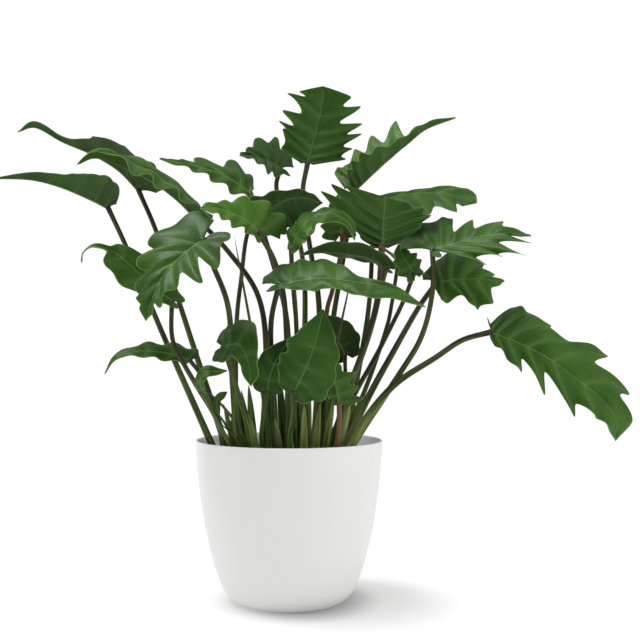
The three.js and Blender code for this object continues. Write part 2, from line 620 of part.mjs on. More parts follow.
function bladeSolid(leaf, extra) {
  const rings = widest(leaf) < SMALL_BLADE ? [1] : BLADE_RINGS;
  const us = bladeStations(leaf);
  const rows = bladeRows(leaf, us, rings);
  const middle = rings.length;
  const backward = rows[0][middle].clone().sub(rows[1][middle]).setLength(extra);
  rows[0].forEach((p) => p.add(backward));
  const skin = [];
  const points = [];
  const ids = rows.map((row) => row.map((p) => points.push(p) - 1));
  for (let i = 0; i + 2 < ids.length; i += 1) {
    for (let j = 0; j < 2 * middle; j += 1) {
      const [a, b] = [ids[i][j], ids[i][j + 1]];
      const [c, d] = [ids[i + 1][j + 1], ids[i + 1][j]];
      if (j < middle) {
        skin.push([a, b, c], [a, c, d]);
      } else {
        skin.push([a, b, d], [b, c, d]);
      }
    }
  }
  const lastRow = ids[ids.length - 2];
  const tip = ids[ids.length - 1][0];
  for (let j = 0; j < 2 * middle; j += 1) {
    skin.push([lastRow[j], lastRow[j + 1], tip]);
  }
  const normals = points.map(() => new THREE.Vector3());
  for (const [a, b, c] of skin) {
    const n = points[b].clone().sub(points[a]).cross(points[c].clone().sub(points[a]));
    [a, b, c].forEach((id) => normals[id].add(n));
  }
  normals.forEach((n) => n.normalize());
  const half = 0.5 * BLADE_THICKNESS + extra;
  const deep = points.map(() => half);
  ids.forEach((row, i) => {
    if (row.length > 1) {
      deep[row[middle]] += RIB_DEPTH * (1 - 0.8 * us[i]);
    }
  });
  const count = points.length;
  const positions = [];
  const sign = frontSign(leaf, points, skin);
  points.forEach((p, id) => {
    positions.push(...p.clone().addScaledVector(normals[id], sign * half).toArray());
  });
  points.forEach((p, id) => {
    positions.push(...p.clone().addScaledVector(normals[id], -sign * deep[id]).toArray());
  });
  const triangles = [];
  for (const [a, b, c] of skin) {
    triangles.push(a, b, c);
    triangles.push(a + count, c + count, b + count);
  }
  const border = [...ids[0]];
  for (let i = 1; i + 1 < ids.length; i += 1) {
    border.push(ids[i][2 * middle]);
  }
  border.push(tip);
  for (let i = ids.length - 2; i > 0; i -= 1) {
    border.push(ids[i][0]);
  }
  border.forEach((a, k) => {
    const b = border[(k + 1) % border.length];
    triangles.push(b, a, a + count, b, a + count, b + count);
  });
  return solid(positions, outward(positions, triangles));
}

function frontSign(leaf, points, skin) {
  const up = new THREE.Vector3(...leaf.face[0]);
  const total = new THREE.Vector3();
  for (const [a, b, c] of skin) {
    total.add(points[b].clone().sub(points[a]).cross(points[c].clone().sub(points[a])));
  }
  return total.dot(up) >= 0 ? 1 : -1;
}

// ---------------------------------------------------------------- stems

function stemSolid(leaf, extra, dip, shorten) {
  const line = measured(leaf.stem, 40);
  const steps = Math.max(5, Math.min(9, Math.round(line.length / STEM_STEP)));
  const positions = [];
  const triangles = [];
  let across = new THREE.Vector3(1, 0, 0);
  for (let i = 0; i <= steps; i += 1) {
    const share = i / steps;
    const x = share * (line.length - shorten);
    const tangent = directionAt(line, x, 0.02);
    const centre = pointAt(line, x);
    if (i === 0) {
      centre.addScaledVector(tangent, -dip);
    }
    across.addScaledVector(tangent, -across.dot(tangent)).normalize();
    const other = tangent.clone().cross(across);
    const radius = leaf.thick[1] + (leaf.thick[0] - leaf.thick[1]) * (1 - share) ** 2 + extra;
    for (let k = 0; k < STEM_SIDES; k += 1) {
      const angle = (2 * Math.PI * k) / STEM_SIDES;
      const p = centre.clone();
      p.addScaledVector(across, radius * Math.cos(angle)).addScaledVector(other, radius * Math.sin(angle));
      positions.push(...p.toArray());
    }
  }
  for (let i = 0; i < steps; i += 1) {
    for (let k = 0; k < STEM_SIDES; k += 1) {
      const [a, b] = [i * STEM_SIDES + k, i * STEM_SIDES + ((k + 1) % STEM_SIDES)];
      triangles.push(a, b, b + STEM_SIDES, a, b + STEM_SIDES, a + STEM_SIDES);
    }
  }
  const top = steps * STEM_SIDES;
  for (let k = 1; k + 1 < STEM_SIDES; k += 1) {
    triangles.push(0, k + 1, k, top, top + k, top + k + 1);
  }
  return solid(positions, outward(positions, triangles));
}

function largest(shape) {
  const parts = shape.decompose();
  parts.sort((a, b) => b.volume() - a.volume());
  return parts[0];
}

// ---------------------------------------------------------------- pots and soil

function potRadius(z) {
  const t = (POT_HEIGHT - z) / POT_HEIGHT;
  const lean = 0.227 * t + 0.523 * t * t + 0.25 * t ** 4;
  const low = Math.max(0, (POT_FILLET - z) / POT_FILLET);
  const fillet = 0.6 * POT_FILLET * (1 - Math.sqrt(1 - low * low));
  return POT_RIM_RADIUS - (POT_RIM_RADIUS - POT_FOOT_RADIUS) * lean - fillet;
}

function coverPot() {
  const profile = [[0, 0]];
  POT_OUTSIDE_STATIONS.forEach((z) => profile.push([potRadius(z), z]));
  profile.push([POT_RIM_RADIUS - POT_RIM_ROUNDING, POT_HEIGHT]);
  profile.push([POT_RIM_RADIUS - POT_WALL + POT_RIM_ROUNDING, POT_HEIGHT]);
  POT_INSIDE_STATIONS.forEach((z) => profile.push([potRadius(z) - POT_WALL, z]));
  profile.push([potRadius(POT_FLOOR) - 2 * POT_WALL, POT_FLOOR]);
  profile.push([0, POT_FLOOR]);
  return turnedSolid(profile, POT_SEGMENTS);
}

function linerRadius(z) {
  const share = (z - LINER_FLOOR_BOTTOM) / (LINER_HEIGHT - LINER_FLOOR_BOTTOM);
  return LINER_FOOT_RADIUS + (LINER_RIM_RADIUS - LINER_FOOT_RADIUS) * share;
}

function growersPot() {
  const lipZ = LINER_HEIGHT - LINER_LIP_HEIGHT;
  const profile = [
    [0, LINER_FLOOR_BOTTOM],
    [LINER_FOOT_RADIUS, LINER_FLOOR_BOTTOM],
    [linerRadius(lipZ), lipZ],
    [linerRadius(lipZ) + LINER_LIP, lipZ],
    [LINER_RIM_RADIUS + LINER_LIP, LINER_HEIGHT],
    [LINER_RIM_RADIUS - LINER_WALL, LINER_HEIGHT],
    [linerRadius(LINER_FLOOR_TOP) - LINER_WALL, LINER_FLOOR_TOP],
    [0, LINER_FLOOR_TOP],
  ];
  return turnedSolid(profile, LINER_SEGMENTS);
}

function soilHeight(x, y) {
  const broad = Math.sin(0.11 * x + 0.6) * Math.cos(0.13 * y);
  const narrow = 0.4 * Math.sin(0.31 * x - 0.27 * y);
  return SOIL_TOP + SOIL_BUMP * (broad + narrow);
}

function soilBody() {
  const floor = LINER_FLOOR_TOP + SEAT_GAP;
  const inner = (z) => linerRadius(z) - LINER_WALL - 2 * SEAT_GAP;
  const edge = inner(SOIL_TOP - SOIL_EDGE_DROP);
  const profile = [[0, floor], [inner(floor), floor], [edge, SOIL_TOP - SOIL_EDGE_DROP]];
  for (let i = SOIL_RINGS - 1; i >= 0; i -= 1) {
    profile.push([(edge * i) / SOIL_RINGS, SOIL_TOP]);
  }
  const body = turnedSolid(profile, SOIL_SEGMENTS);
  return body.warp((vertex) => {
    if (vertex[2] > SOIL_TOP - 1) {
      vertex[2] = soilHeight(vertex[0], vertex[1]);
    }
  });
}

// ---------------------------------------------------------------- the part

function part(name, shape, look) {
  const { vertProperties, triVerts, numProp } = shape.getMesh();
  const positions = new Float32Array((vertProperties.length / numProp) * 3);
  for (let i = 0; i < positions.length / 3; i += 1) {
    positions.set(vertProperties.subarray(i * numProp, i * numProp + 3), 3 * i);
  }
  const geometry = new THREE.BufferGeometry();
  geometry.setAttribute("position", new THREE.BufferAttribute(positions, 3));
  geometry.setIndex(new THREE.BufferAttribute(new Uint32Array(triVerts), 1));
  const mesh = new THREE.Mesh(geometry, new THREE.MeshStandardMaterial(look));
  mesh.name = name;
  return mesh;
}

const plant = new THREE.Group();
plant.name = "potted_philodendron";
plant.add(part("cover_pot", coverPot(), LOOKS.pot));
plant.add(part("growers_pot", growersPot(), LOOKS.liner));

let soil = soilBody();
for (const [id, leaf] of Object.entries(LEAVES)) {
  soil = soil.subtract(stemSolid(leaf, SEAT_GAP * 1.16, SEAT_GAP, 0));
  const blade = bladeSolid(leaf, 0);
  if (GREEN_STEMS.includes(id)) {
    plant.add(part(`leaf_${id}`, largest(blade.add(stemSolid(leaf, 0, 0, 0))), LOOKS.blade));
  } else {
    const seat = bladeSolid(leaf, SEAT_GAP);
    const stem = largest(stemSolid(leaf, 0, 0, STEM_SHORTFALL).subtract(seat));
    plant.add(part(`blade_${id}`, blade, LOOKS.blade));
    plant.add(part(`petiole_${id}`, stem, LOOKS.stem));
  }
}
plant.add(part("potting_soil", largest(soil), LOOKS.soil));

export default plant;
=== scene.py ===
"""A potted philodendron with finger-lobed leaves, in a round white cover pot.

Metres, +Z up. The origin is the centre of the pot's flat base, and the front faces -Y.
Lists of points and leaf sizes are in millimetres, as in the solid model that they repeat.
"""

import math
import random

import bpy
import numpy as np
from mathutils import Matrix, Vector


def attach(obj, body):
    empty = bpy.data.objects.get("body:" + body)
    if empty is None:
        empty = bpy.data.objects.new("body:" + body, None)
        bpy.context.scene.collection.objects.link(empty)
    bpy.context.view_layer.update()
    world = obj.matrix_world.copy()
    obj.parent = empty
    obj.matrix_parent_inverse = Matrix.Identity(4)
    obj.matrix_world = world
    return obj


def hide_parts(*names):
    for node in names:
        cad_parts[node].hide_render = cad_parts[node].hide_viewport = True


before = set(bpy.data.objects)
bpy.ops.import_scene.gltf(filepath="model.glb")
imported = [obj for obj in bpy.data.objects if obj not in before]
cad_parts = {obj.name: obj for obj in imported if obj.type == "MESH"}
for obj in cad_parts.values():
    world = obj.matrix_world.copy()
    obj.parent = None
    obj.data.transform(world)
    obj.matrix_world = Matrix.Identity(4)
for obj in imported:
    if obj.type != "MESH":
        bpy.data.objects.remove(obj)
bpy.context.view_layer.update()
scene = bpy.context.scene

MM = 0.001

# ---- camera and light

PHOTO_PIXELS = 640
FOCAL_PIXELS = 914
AXIS_PIXEL_X = 289
AXIS_PIXEL_Y = 357
SENSOR_WIDTH = 36
CAMERA_DISTANCE = 0.9
CAMERA_HEIGHT = 0.238
HORIZON_GLOW = 0.33
ZENITH_GLOW = 0.64
BACKDROP_GLOW = 1.03
KEY_POWER = 34
LEFT_POWER = 4.2
RIGHT_POWER = 10

# The floor is lit and shaded by the lamps up to NEAR, with a faint glow that lightens its shadow, and glows
# bare white from FAR, in metres from a point SHADOW_SHIFT to the right of the pot's axis: the glow that
# rises between them is a painted fade at the edge of the pot's shadow.
FLOOR_GLOW = 0.12
FLOOR_NEAR = 0.055
FLOOR_FAR = 0.15
SHADOW_SHIFT = 0.04
# Within these distances of the pot's axis the floor's colour is painted grey: a painted contact shadow.
CONTACT_SHADOW_NEAR = 0.055
CONTACT_SHADOW_FAR = 0.1

# ---- pot and soil sizes

POT_HEIGHT = 157
POT_RIM_RADIUS = 91.5
POT_FOOT_RADIUS = 59.8
POT_WALL = 2.2
POT_FLOOR = 2.6
POT_FILLET = 18
POT_RIM_ROUNDING = 1.0
POT_SEGMENTS = 160
POT_FOOT_STEPS = 12
POT_SIDE_STEPS = 28
POT_RIM_STEPS = 8
POT_INSIDE_STEPS = 30
POT_INSIDE_LOW = 6
POT_LEAN = (0.227, 0.523, 0.25)
FILLET_PULL = 0.6

LINER_FLOOR_TOP = 4.6
LINER_FLOOR_BOTTOM = 3.0
LINER_HEIGHT = 138
LINER_FOOT_RADIUS = 50
LINER_RIM_RADIUS = 80
LINER_WALL = 1.2
LINER_LIP = 3
LINER_LIP_HEIGHT = 9
LINER_SEGMENTS = 96

SOIL_TOP = 134
SOIL_BUMP = 1.6
SOIL_RINGS = 44
SOIL_SEGMENTS = 140
SOIL_GAP = 0.6
SOIL_CRUMBS = 900
CRUMB_SEED = 11
CRUMB_REACH = 74
CRUMB_SIZES = (0.6, 2.2)

# ---- leaf sizes

MIDRIB_STEPS = 48
MIDRIB_SPAN = 0.1
BLADE_THICKNESS = 0.7
MARGIN_THICKNESS = 0.35
MARGIN_START = 0.8
TIP_HALF_THICKNESS = 0.15
RIB_DEPTH = 1.1
RIB_WIDTH = 1.6
SIDE_RIB_DEPTH = 0.35
LOBE_PEAK = 0.58
END_LOBE_MIDDLE = 0.5
BASE_SHARE = 0.45
BASE_LEAN = 0.4
BASE_CUT = 0.3
VEIN_CROWDING = 1.8
WAVY_WIDTH = 24
RIPPLE_SHIFT = 1.3
RIPPLE_FADE = 6
STEPS_BEFORE_VEIN = 9
STEPS_AFTER_VEIN = 7
HALF_COLUMNS = [0, 0.012, 0.028, 0.05, 0.08, 0.13, 0.2, 0.29, 0.39, 0.5, 0.61, 0.72, 0.82, 0.9, 0.96, 1]
VEIN_DIP = 0.6
VEIN_HALF_WIDTH = 1.4
VEIN_SAG = 0.04
VEIN_TAPER = 0.8
FAR = 99.0
VEINLESS = 9.0
MIDRIB_DIP_WIDTH = 2.2
PILLOW = 1.7
FULL_PILLOW_WIDTH = 45
DRIFT_HEIGHT = 0.5
DRIFT_ALONG = 0.09
DRIFT_ACROSS = 0.11

STEM_STEPS = 40
STALK_SIDES = 14
STALK_STEPS = 56
STALK_SPAN = 0.02
STALK_SEAT = 0.6
STALK_SWAY = 0.5
SWAY_TURN = 9
SHEATH_TOP = 0.34
SHEATH_FULL = 0.04
SHEATH_BREADTH = 0.22
GROOVE = 0.16
SWELL = 0.14
SWELL_LENGTH = 9

SPIKE_LINE_STEPS = 24
SPIKE_SIDES = 12
SPIKE_STEPS = 22
SPIKE_SPAN = 0.04
SPIKE_TIP_RADIUS = 0.12
SPIKE_RIDGES = 5
SPIKE_RIDGE_HEIGHT = 0.06
SPIKE_TURN = 0.3
SPIKE_BACK = 30.0
SPIKE_VARIETY = 0.37
SHEATH_FLATNESS = 0.45
STREAK_RADIUS = 0.004
STREAK_STRETCH = 0.07
GOLDEN = 0.618

# stem   points from the foot in the soil up to the blade's base
# rib    points of the midrib beyond the stem's end, up to the blade's tip
# face   direction of the upper side, at the base and at the tip
# left, right   tips of the lobes on each side, looking along the midrib, as far along it and
#        off it as the flat blade has them; the last is the widest place of the end lobe;
#        the right side is like the left where it isn't given
# cut    how deep the bays between the lobes go, also for one bay, as a lobe's third number
# blunt  from 1.5 for narrow pointed lobes up to 3.2 for broad ones with narrow bays
# crowd  how much the veins' roots crowd toward the blade's base, where it isn't the usual
# fold   degrees by which the halves rise; droop is how far that falls off
# wave   height of the ripples along the margin
# heel   rise of the basal lobes for each millimetre behind the base
# thick  stem radius at the foot and at the blade
# fresh  how fresh the blade's green is: 0 is old and dark, 1 a young yellow-green
# green  how far up its length the stalk stays green before it turns purple-brown
# pale   how pale and yellow the stalk's foot is; ruddy is how red-brown the stalk is
# whole  whether the leaf is one node in the solid model, blade and stalk together

USUAL_LEAF = dict(
    fresh=0.3, green=0.55, pale=0.12, ruddy=0, cut=0.2, blunt=3, crowd=VEIN_CROWDING, droop=14,
    wave=2, heel=0, thick=(4.2, 2.4), whole=False,
)
LEAVES = {}


def grow(key, stem, rib, **form):
    """Note one leaf, whose midrib goes on from the end of its stem."""
    same = {"right": form["left"]}
    LEAVES[key] = USUAL_LEAF | same | form | {"stem": stem, "rib": stem[-1:] + rib}


grow(
    "01", fresh=0.2, cut=0.22, blunt=2.2, fold=54, heel=0.2, face=[(0.3, -0.12, 1), (0, -0.12, 1)],
    stem=[(-58, 0, 112), (-77, 0, 154), (-107, 0, 223), (-133, 0, 281), (-161, 0, 348), (-178, 0, 385)],
    rib=[(-195, -4, 393), (-223, -10, 404), (-251, -15, 410), (-286, -20, 410)],
    left=[(0, 38, 0.6), (12, 45), (30, 32), (49, 18), (82, 8)],
    right=[(2, 30, 0.6), (14, 36), (32, 26), (52, 14), (84, 6)],
)
grow(
    "02", fresh=0.15, blunt=2.6, fold=54, heel=0.2, face=[(0.6, -0.1, 0.8), (0.1, -0.1, 1)],
    stem=[(-50, 16, 112), (-65, 18, 154), (-84, 20, 213), (-110, 24, 289), (-134, 30, 363),
          (-154, 36, 409)],
    rib=[(-176, 42, 431), (-205, 50, 449), (-238, 58, 464), (-267, 64, 480), (-288, 68, 476)],
    left=[(-18, 38, 0.4), (20, 42), (60, 28), (92, 9), (136, 8)],
    right=[(-10, 34, 0.4), (22, 38), (54, 24), (90, 8), (134, 5)],
)
grow(
    "03", fold=60, droop=54, heel=0.2, face=[(0.6, -0.1, 0.8), (-0.2, -0.45, 0.85)],
    stem=[(-22, -18, 112), (-24, -18, 160), (-22, -17, 235), (-30, -16, 297), (-60, -12, 342),
          (-90, -10, 373)],
    rib=[(-110, -14, 392), (-136, -18, 410), (-167, -24, 424), (-186, -28, 428), (-202, -30, 421)],
    left=[(-8, 24), (20, 32), (46, 35), (74, 33), (106, 16)],
    right=[(-6, 26), (14, 34), (46, 34), (78, 24), (110, 10)],
)
grow(
    "04", cut=0.25, blunt=2, fold=-4, droop=4, wave=3, face=[(0.3, -0.6, 0.75), (-0.1, -0.6, 0.8)],
    stem=[(-4, 18, 112), (-2, 21, 160), (-1, 23, 215), (-4, 28, 286), (-26, 40, 366), (-40, 44, 408)],
    rib=[(-66, 44, 425), (-97, 41, 435), (-133, 36, 441)],
    left=[(-6, 9), (14, 18), (42, 16), (64, 11), (86, 6)],
    right=[(14, 36), (36, 46, 0.06), (66, 18, 0.3), (80, 8), (90, 4)],
)
grow(
    "05", fresh=0.15, blunt=2, fold=6, droop=6, face=[(-0.1, -0.8, 0.6), (-0.3, -0.8, 0.5)],
    stem=[(10, 40, 112), (13, 42, 160), (14, 46, 214), (17, 58, 308), (10, 70, 365), (-13, 85, 416),
          (-9, 90, 443)],
    rib=[(-24, 80, 449), (-38, 69, 451), (-52, 58, 449)],
    left=[(-12, 6), (8, 20), (32, 30), (42, 16), (50, 8)],
    right=[(-12, 36), (6, 45), (24, 33), (40, 12), (50, 6)],
)
grow(
    "06", fresh=0.12, cut=0.15, blunt=1.6, fold=14, droop=20, heel=0.1, thick=(4.4, 2.5),
    face=[(0, -1, 0.15), (0.1, -1, 0.1)],
    stem=[(24, 18, 112), (26, 20, 154), (31, 26, 255), (30, 30, 302), (22, 35, 347), (14, 38, 403),
          (19, 40, 437)],
    rib=[(25, 40, 460), (31, 40, 483), (35, 39, 503), (35, 38, 516)],
    left=[(8, 30, 0.5), (28, 34), (36, 40, 0.15), (48, 39, 0.4), (73, 37, 0.5), (75, 24, 0.42)],
    right=[(14, 37, 0.6), (27, 41, 0.2), (44, 47, 0.28), (53, 45, 0.32), (66, 40, 0.5), (72, 28, 0.4)],
)
grow(
    "07", fresh=0.7, cut=0.12, blunt=1.6, fold=54, heel=0.1,
    face=[(-0.65, -0.05, 0.75), (-0.4, -0.05, 0.9)],
    stem=[(30, 34, 112), (33, 32, 154), (36, 29, 194), (45, 30, 274), (50, 33, 307), (63, 38, 384),
          (69, 40, 411)],
    rib=[(96, 42, 436), (124, 45, 460), (143, 48, 475), (174, 50, 487)],
    left=[(2, 44, 0.5), (14, 43, 0.06), (37, 55, 0.3), (60, 54, 0.5), (88, 43, 0.6), (95, 10, 0.75),
          (112, 6, 0.05)],
    right=[(2, 26, 0.5), (12, 30), (24, 29), (43, 20), (68, 11), (90, 8, 0.05), (110, 6, 0.05)],
)
grow(
    "08", ruddy=0.35, cut=0.12, blunt=1.8, fold=10, droop=10, heel=0.1, thick=(4.4, 3),
    face=[(0, 1, 0.1), (0.1, 1, 0.2)],
    stem=[(40, -8, 112), (45, -9, 157), (55, -12, 196), (76, -16, 258), (86, -20, 300), (89, -25, 344)],
    rib=[(90, -25, 362), (91, -25, 377), (93, -24, 391)],
    left=[(6, 20), (20, 36), (34, 45), (43, 37), (46, 20)],
    right=[(6, 20), (22, 36), (45, 63), (54, 54, 0.3), (55, 40, 0.3)],
)
grow(
    "09", fresh=0.32, cut=0.08, fold=0, droop=4, wave=1, thick=(3.8, 2.3),
    face=[(-0.2, -0.6, 0.8), (0.2, -0.6, 0.8)],
    stem=[(52, 10, 112), (58, 12, 160), (68, 16, 215), (80, 20, 290), (84, 22, 350), (84, 24, 394)],
    rib=[(112, 22, 401), (145, 18, 403), (170, 10, 398), (186, 4, 390)],
    left=[(-8, 10), (15, 10), (40, 8), (62, 14), (84, 24), (100, 18)],
    right=[(-8, 20), (16, 34), (36, 46), (60, 43), (98, 35, 0.35), (101, 16, 0.4)],
)
grow(
    "10", fresh=0.48, pale=0.6, cut=0.3, blunt=1.6, crowd=2.2, fold=0, droop=4, wave=3,
    face=[(-0.4, -0.6, 0.7), (0.1, -0.62, 0.79)],
    stem=[(38, -22, 112), (64, -22, 158), (102, -25, 217), (126, -30, 257), (136, -34, 299),
          (136, -34, 340)],
    rib=[(156, -40, 345), (177, -48, 350), (199, -58, 352), (221, -68, 348)],
    left=[(-33, 50, 0.4), (4, 55, 0.1), (20, 54, 0.1), (37, 40, 0.66), (62, 31, 0.62), (80, 9, 0.5)],
    right=[(4, 16, 0.3), (58, 50, 0.85), (77, 43, 0.45), (97, 40, 0.28), (97, 15, 0.55), (86, 4, 0.6)],
)
grow(
    "11", fresh=0.7, pale=0.7, cut=0.15, blunt=2.2, fold=0, droop=4, wave=3, thick=(4.6, 2.6),
    face=[(-0.4, -0.7, 0.7), (0.4, -0.7, 0.6)],
    stem=[(32, -34, 112), (53, -31, 154), (76, -28, 201), (102, -20, 245), (127, -8, 287), (146, 0, 312)],
    rib=[(165, -6, 314), (188, -12, 314), (208, -18, 311)],
    left=[(-14, 18), (2, 42), (20, 50), (42, 29), (54, 11, 0.3), (63, 3, 0.42)],
    right=[(0, 14), (8, 32, 0.1), (27, 26, 0.16), (43, 44, 0.05), (60, 38, 0.22), (63, 3.5, 0.5)],
)
grow(
    "12", fresh=0.5, green=0.65, pale=1.0, cut=0.3, blunt=1.8, crowd=2.2, fold=12, wave=3, thick=(4.6, 2.6),
    face=[(0.25, -0.8, 0.55), (0.6, -0.75, 0.2)],
    stem=[(36, -46, 112), (58, -46, 155), (75, -44, 185), (101, -42, 213), (137, -34, 236), (165, -26, 254),
          (194, -20, 262)],
    rib=[(220, -28, 251), (245, -35, 237), (269, -42, 218), (290, -48, 200), (303, -52, 180),
         (302, -54, 160)],
    left=[(8, 42, 0.55), (24, 45, 0.02), (45, 43, 0.15), (66, 37, 0.18), (101, 59, 0), (131, 41, 0.5),
          (148, 23, 0.45)],
    right=[(5, 13), (20, 22, 0.02), (44, 37, 0.04), (77, 46, 0.58), (112, 46, 0.62), (126, 29, 0.32),
           (150, 18, 0.02)],
)
grow(
    "13", fresh=0.42, cut=0.3, blunt=3.2, fold=16, wave=3, heel=-0.1, thick=(4, 2.4),
    face=[(-0.4, -0.8, 0.5), (-0.7, -0.75, 0.2)],
    stem=[(-32, -44, 112), (-47, -54, 161), (-51, -66, 217), (-54, -84, 280), (-67, -100, 319),
          (-74, -110, 340)],
    rib=[(-88, -118, 328), (-103, -126, 312), (-113, -132, 292), (-120, -134, 268)],
    left=[(-14, 21), (20, 42, 0.12), (47, 44, 0.5), (61, 24, 0.3), (78, 16, 0.04), (86, 7, 0.35)],
    right=[(-18, 38), (27, 43, 0.06), (47, 34, 0.22), (68, 20, 0.2), (76, 15, 0.02), (85, 8, 0.03)],
)
grow(
    "14", cut=0.03, fold=12, droop=10, wave=1.5, thick=(3.6, 2.1),
    face=[(0.3, -0.6, 0.75), (-0.3, -0.5, 0.8)],
    stem=[(-54, -36, 112), (-60, -50, 161), (-69, -61, 187), (-84, -70, 212), (-97, -76, 235),
          (-106, -72, 256), (-107, -64, 290)],
    rib=[(-127, -64, 304), (-145, -65, 322), (-162, -66, 335), (-177, -68, 339), (-187, -70, 333),
         (-188, -71, 323)],
    left=[(-8, 8), (14, 18), (42, 26), (70, 21), (92, 2.4, 0.6)],
    right=[(-8, 10), (14, 22), (38, 26), (68, 13), (92, 2.4, 0.5)],
)
grow(
    "15", cut=0.12, fold=4, wave=2.5, thick=(3.2, 1.9), face=[(0.1, -0.6, 0.8), (-0.3, -0.5, 0.8)],
    stem=[(-60, -20, 112), (-63, -38, 158), (-72, -50, 198), (-81, -56, 221), (-91, -60, 235)],
    rib=[(-105, -60, 240), (-123, -60, 243), (-142, -61, 243), (-159, -62, 237), (-169, -63, 222)],
    left=[(3, 8), (24, 11), (46, 9), (68, 4)],
    right=[(0, 23), (22, 18), (44, 16), (66, 7)],
)
grow(
    "16", fresh=0.25, green=1.6, cut=0.06, fold=10, droop=10, wave=1, thick=(3, 1.7), whole=True,
    face=[(-0.9, -0.5, 0), (0, -0.6, 0.8)],
    stem=[(-46, -50, 112), (-49, -55, 136), (-56, -65, 160), (-73, -78, 198), (-77, -83, 206)],
    rib=[(-80, -84, 216), (-74, -84, 225), (-64, -83, 225), (-55, -81, 226)],
    left=[(3, 7), (14, 8), (24, 7), (34, 4)],
)
grow(
    "17", fresh=0.1, green=0.9, cut=0.08, fold=8, thick=(3.6, 2.2),
    face=[(-0.2, -0.85, 0.45), (-0.2, -0.95, 0.1)],
    stem=[(-26, -60, 112), (-34, -70, 158), (-42, -82, 195), (-51, -92, 226), (-58, -100, 247)],
    rib=[(-44, -114, 249), (-36, -124, 238), (-33, -130, 225), (-32, -132, 213)],
    left=[(-6, 22), (4, 24), (18, 25), (38, 10), (56, 7)],
    right=[(-8, 13), (2, 16), (12, 16), (36, 9), (54, 6)],
)
grow(
    "18", fresh=0.1, green=1.4, cut=0.08, fold=10, droop=10, thick=(3, 2), whole=True,
    face=[(0, -1, 0.2), (0.1, -1, 0.1)],
    stem=[(-20, -46, 112), (-25, -58, 162), (-20, -62, 206)],
    rib=[(-17, -66, 222), (-10, -70, 238), (2, -72, 256)],
    left=[(2, 13), (16, 17), (34, 14), (46, 7)],
    right=[(2, 13), (16, 16), (34, 13), (46, 7)],
)
grow(
    "19", fresh=0.12, green=1.5, cut=0.1, fold=8, droop=10, wave=3, heel=0.2, thick=(3.8, 2.3), whole=True,
    face=[(0, -1, 0.15), (0, -1, 0.1)],
    stem=[(0, -60, 112), (1, -72, 163), (3, -84, 182), (5, -95, 208)],
    rib=[(12, -98, 222), (19, -100, 238), (25, -102, 258), (30, -104, 280)],
    left=[(0, 16), (14, 24), (24, 26), (42, 24, 0.2), (60, 13)],
    right=[(-5, 14), (6, 27), (24, 28), (44, 23), (60, 13)],
)
grow(
    "20", fresh=0.1, green=0.9, cut=0.1, fold=14, droop=10, heel=0.1, thick=(3.2, 2),
    face=[(0.3, 0.9, 0.2), (0.2, 0.95, 0.1)],
    stem=[(50, 24, 112), (54, 22, 160), (56, 14, 205), (55, -2, 241)],
    rib=[(49, -4, 252), (42, -6, 265), (34, -8, 279)],
    left=[(-5, 14), (10, 22), (26, 19), (37, 10)],
)
grow(
    "21", fresh=0.85, green=0.9, pale=0.5, ruddy=0.8, cut=0.4, blunt=1.5, fold=10, droop=8, wave=1.5,
    thick=(3.4, 2.2), face=[(0.1, 1, 0.1), (0.1, 1, 0.1)],
    stem=[(34, -54, 112), (37, -62, 136), (43, -70, 160), (45, -78, 179), (45, -85, 197)],
    rib=[(42, -86, 210), (38, -87, 224), (36, -88, 238)],
    left=[(0, 22), (11, 20), (23, 21), (34, 9)],
    right=[(0, 8), (10, 11), (22, 11), (33, 6)],
)
grow(
    "22", cut=0.06, fold=8, heel=-0.1, thick=(4, 2.4), face=[(-0.2, -0.65, 0.75), (0.2, -0.7, 0.7)],
    stem=[(-12, -30, 112), (-13, -40, 170), (-16, -52, 225), (-16, -68, 270), (-9, -80, 303)],
    rib=[(27, -98, 307), (61, -114, 302), (90, -128, 295), (114, -140, 279)],
    left=[(-20, 25), (0, 40), (22, 36), (48, 25), (74, 9), (112, 4)],
    right=[(-10, 8), (8, 9), (38, 20), (66, 15, 0.2), (92, 21), (124, 11)],
)
grow(
    "23", fresh=0.05, cut=0.1, fold=24, thick=(3.4, 2), face=[(0.4, 0.3, 0.9), (0, 0.35, 0.93)],
    stem=[(26, -24, 112), (44, -25, 168), (60, -30, 216), (79, -37, 268), (86, -42, 300), (91, -45, 321)],
    rib=[(78, -44, 330), (56, -42, 335), (32, -38, 337), (10, -36, 334)],
    left=[(-5, 14), (16, 18), (42, 18), (68, 9)],
)
grow(
    "24", fresh=0.65, cut=0.12, blunt=2.6, fold=4, droop=8, wave=3, thick=(4, 2.4),
    face=[(0.5, -0.8, 0.35), (-0.2, -0.65, 0.75)],
    stem=[(2, -36, 112), (0, -36, 170), (-1, -37, 230), (-4, -38, 290), (-13, -46, 326), (-28, -57, 353)],
    rib=[(-38, -64, 362), (-52, -74, 368), (-66, -83, 371), (-79, -90, 369)],
    left=[(-5, 9), (14, 13, 0.2), (34, 17, 0.25), (48, 14), (58, 8)],
    right=[(-17, 41), (7, 36, 0.2), (24, 24), (42, 12), (57, 8)],
)
grow(
    "25", fresh=0.15, cut=0.1, blunt=2.6, fold=14, droop=18, thick=(3.6, 2.1),
    face=[(-0.3, 0.5, 0.75), (0.1, 0.55, 0.8)],
    stem=[(-46, 30, 112), (-56, 30, 154), (-54, 26, 215), (-52, 18, 276), (-48, 10, 313), (-41, 1, 360),
          (-26, -4, 378)],
    rib=[(-4, -5, 392), (16, -6, 394), (33, -8, 388)],
    left=[(-8, 30), (8, 40), (24, 42), (44, 36), (54, 20)],
    right=[(-14, 22), (2, 26), (22, 15), (44, 9), (56, 5)],
)
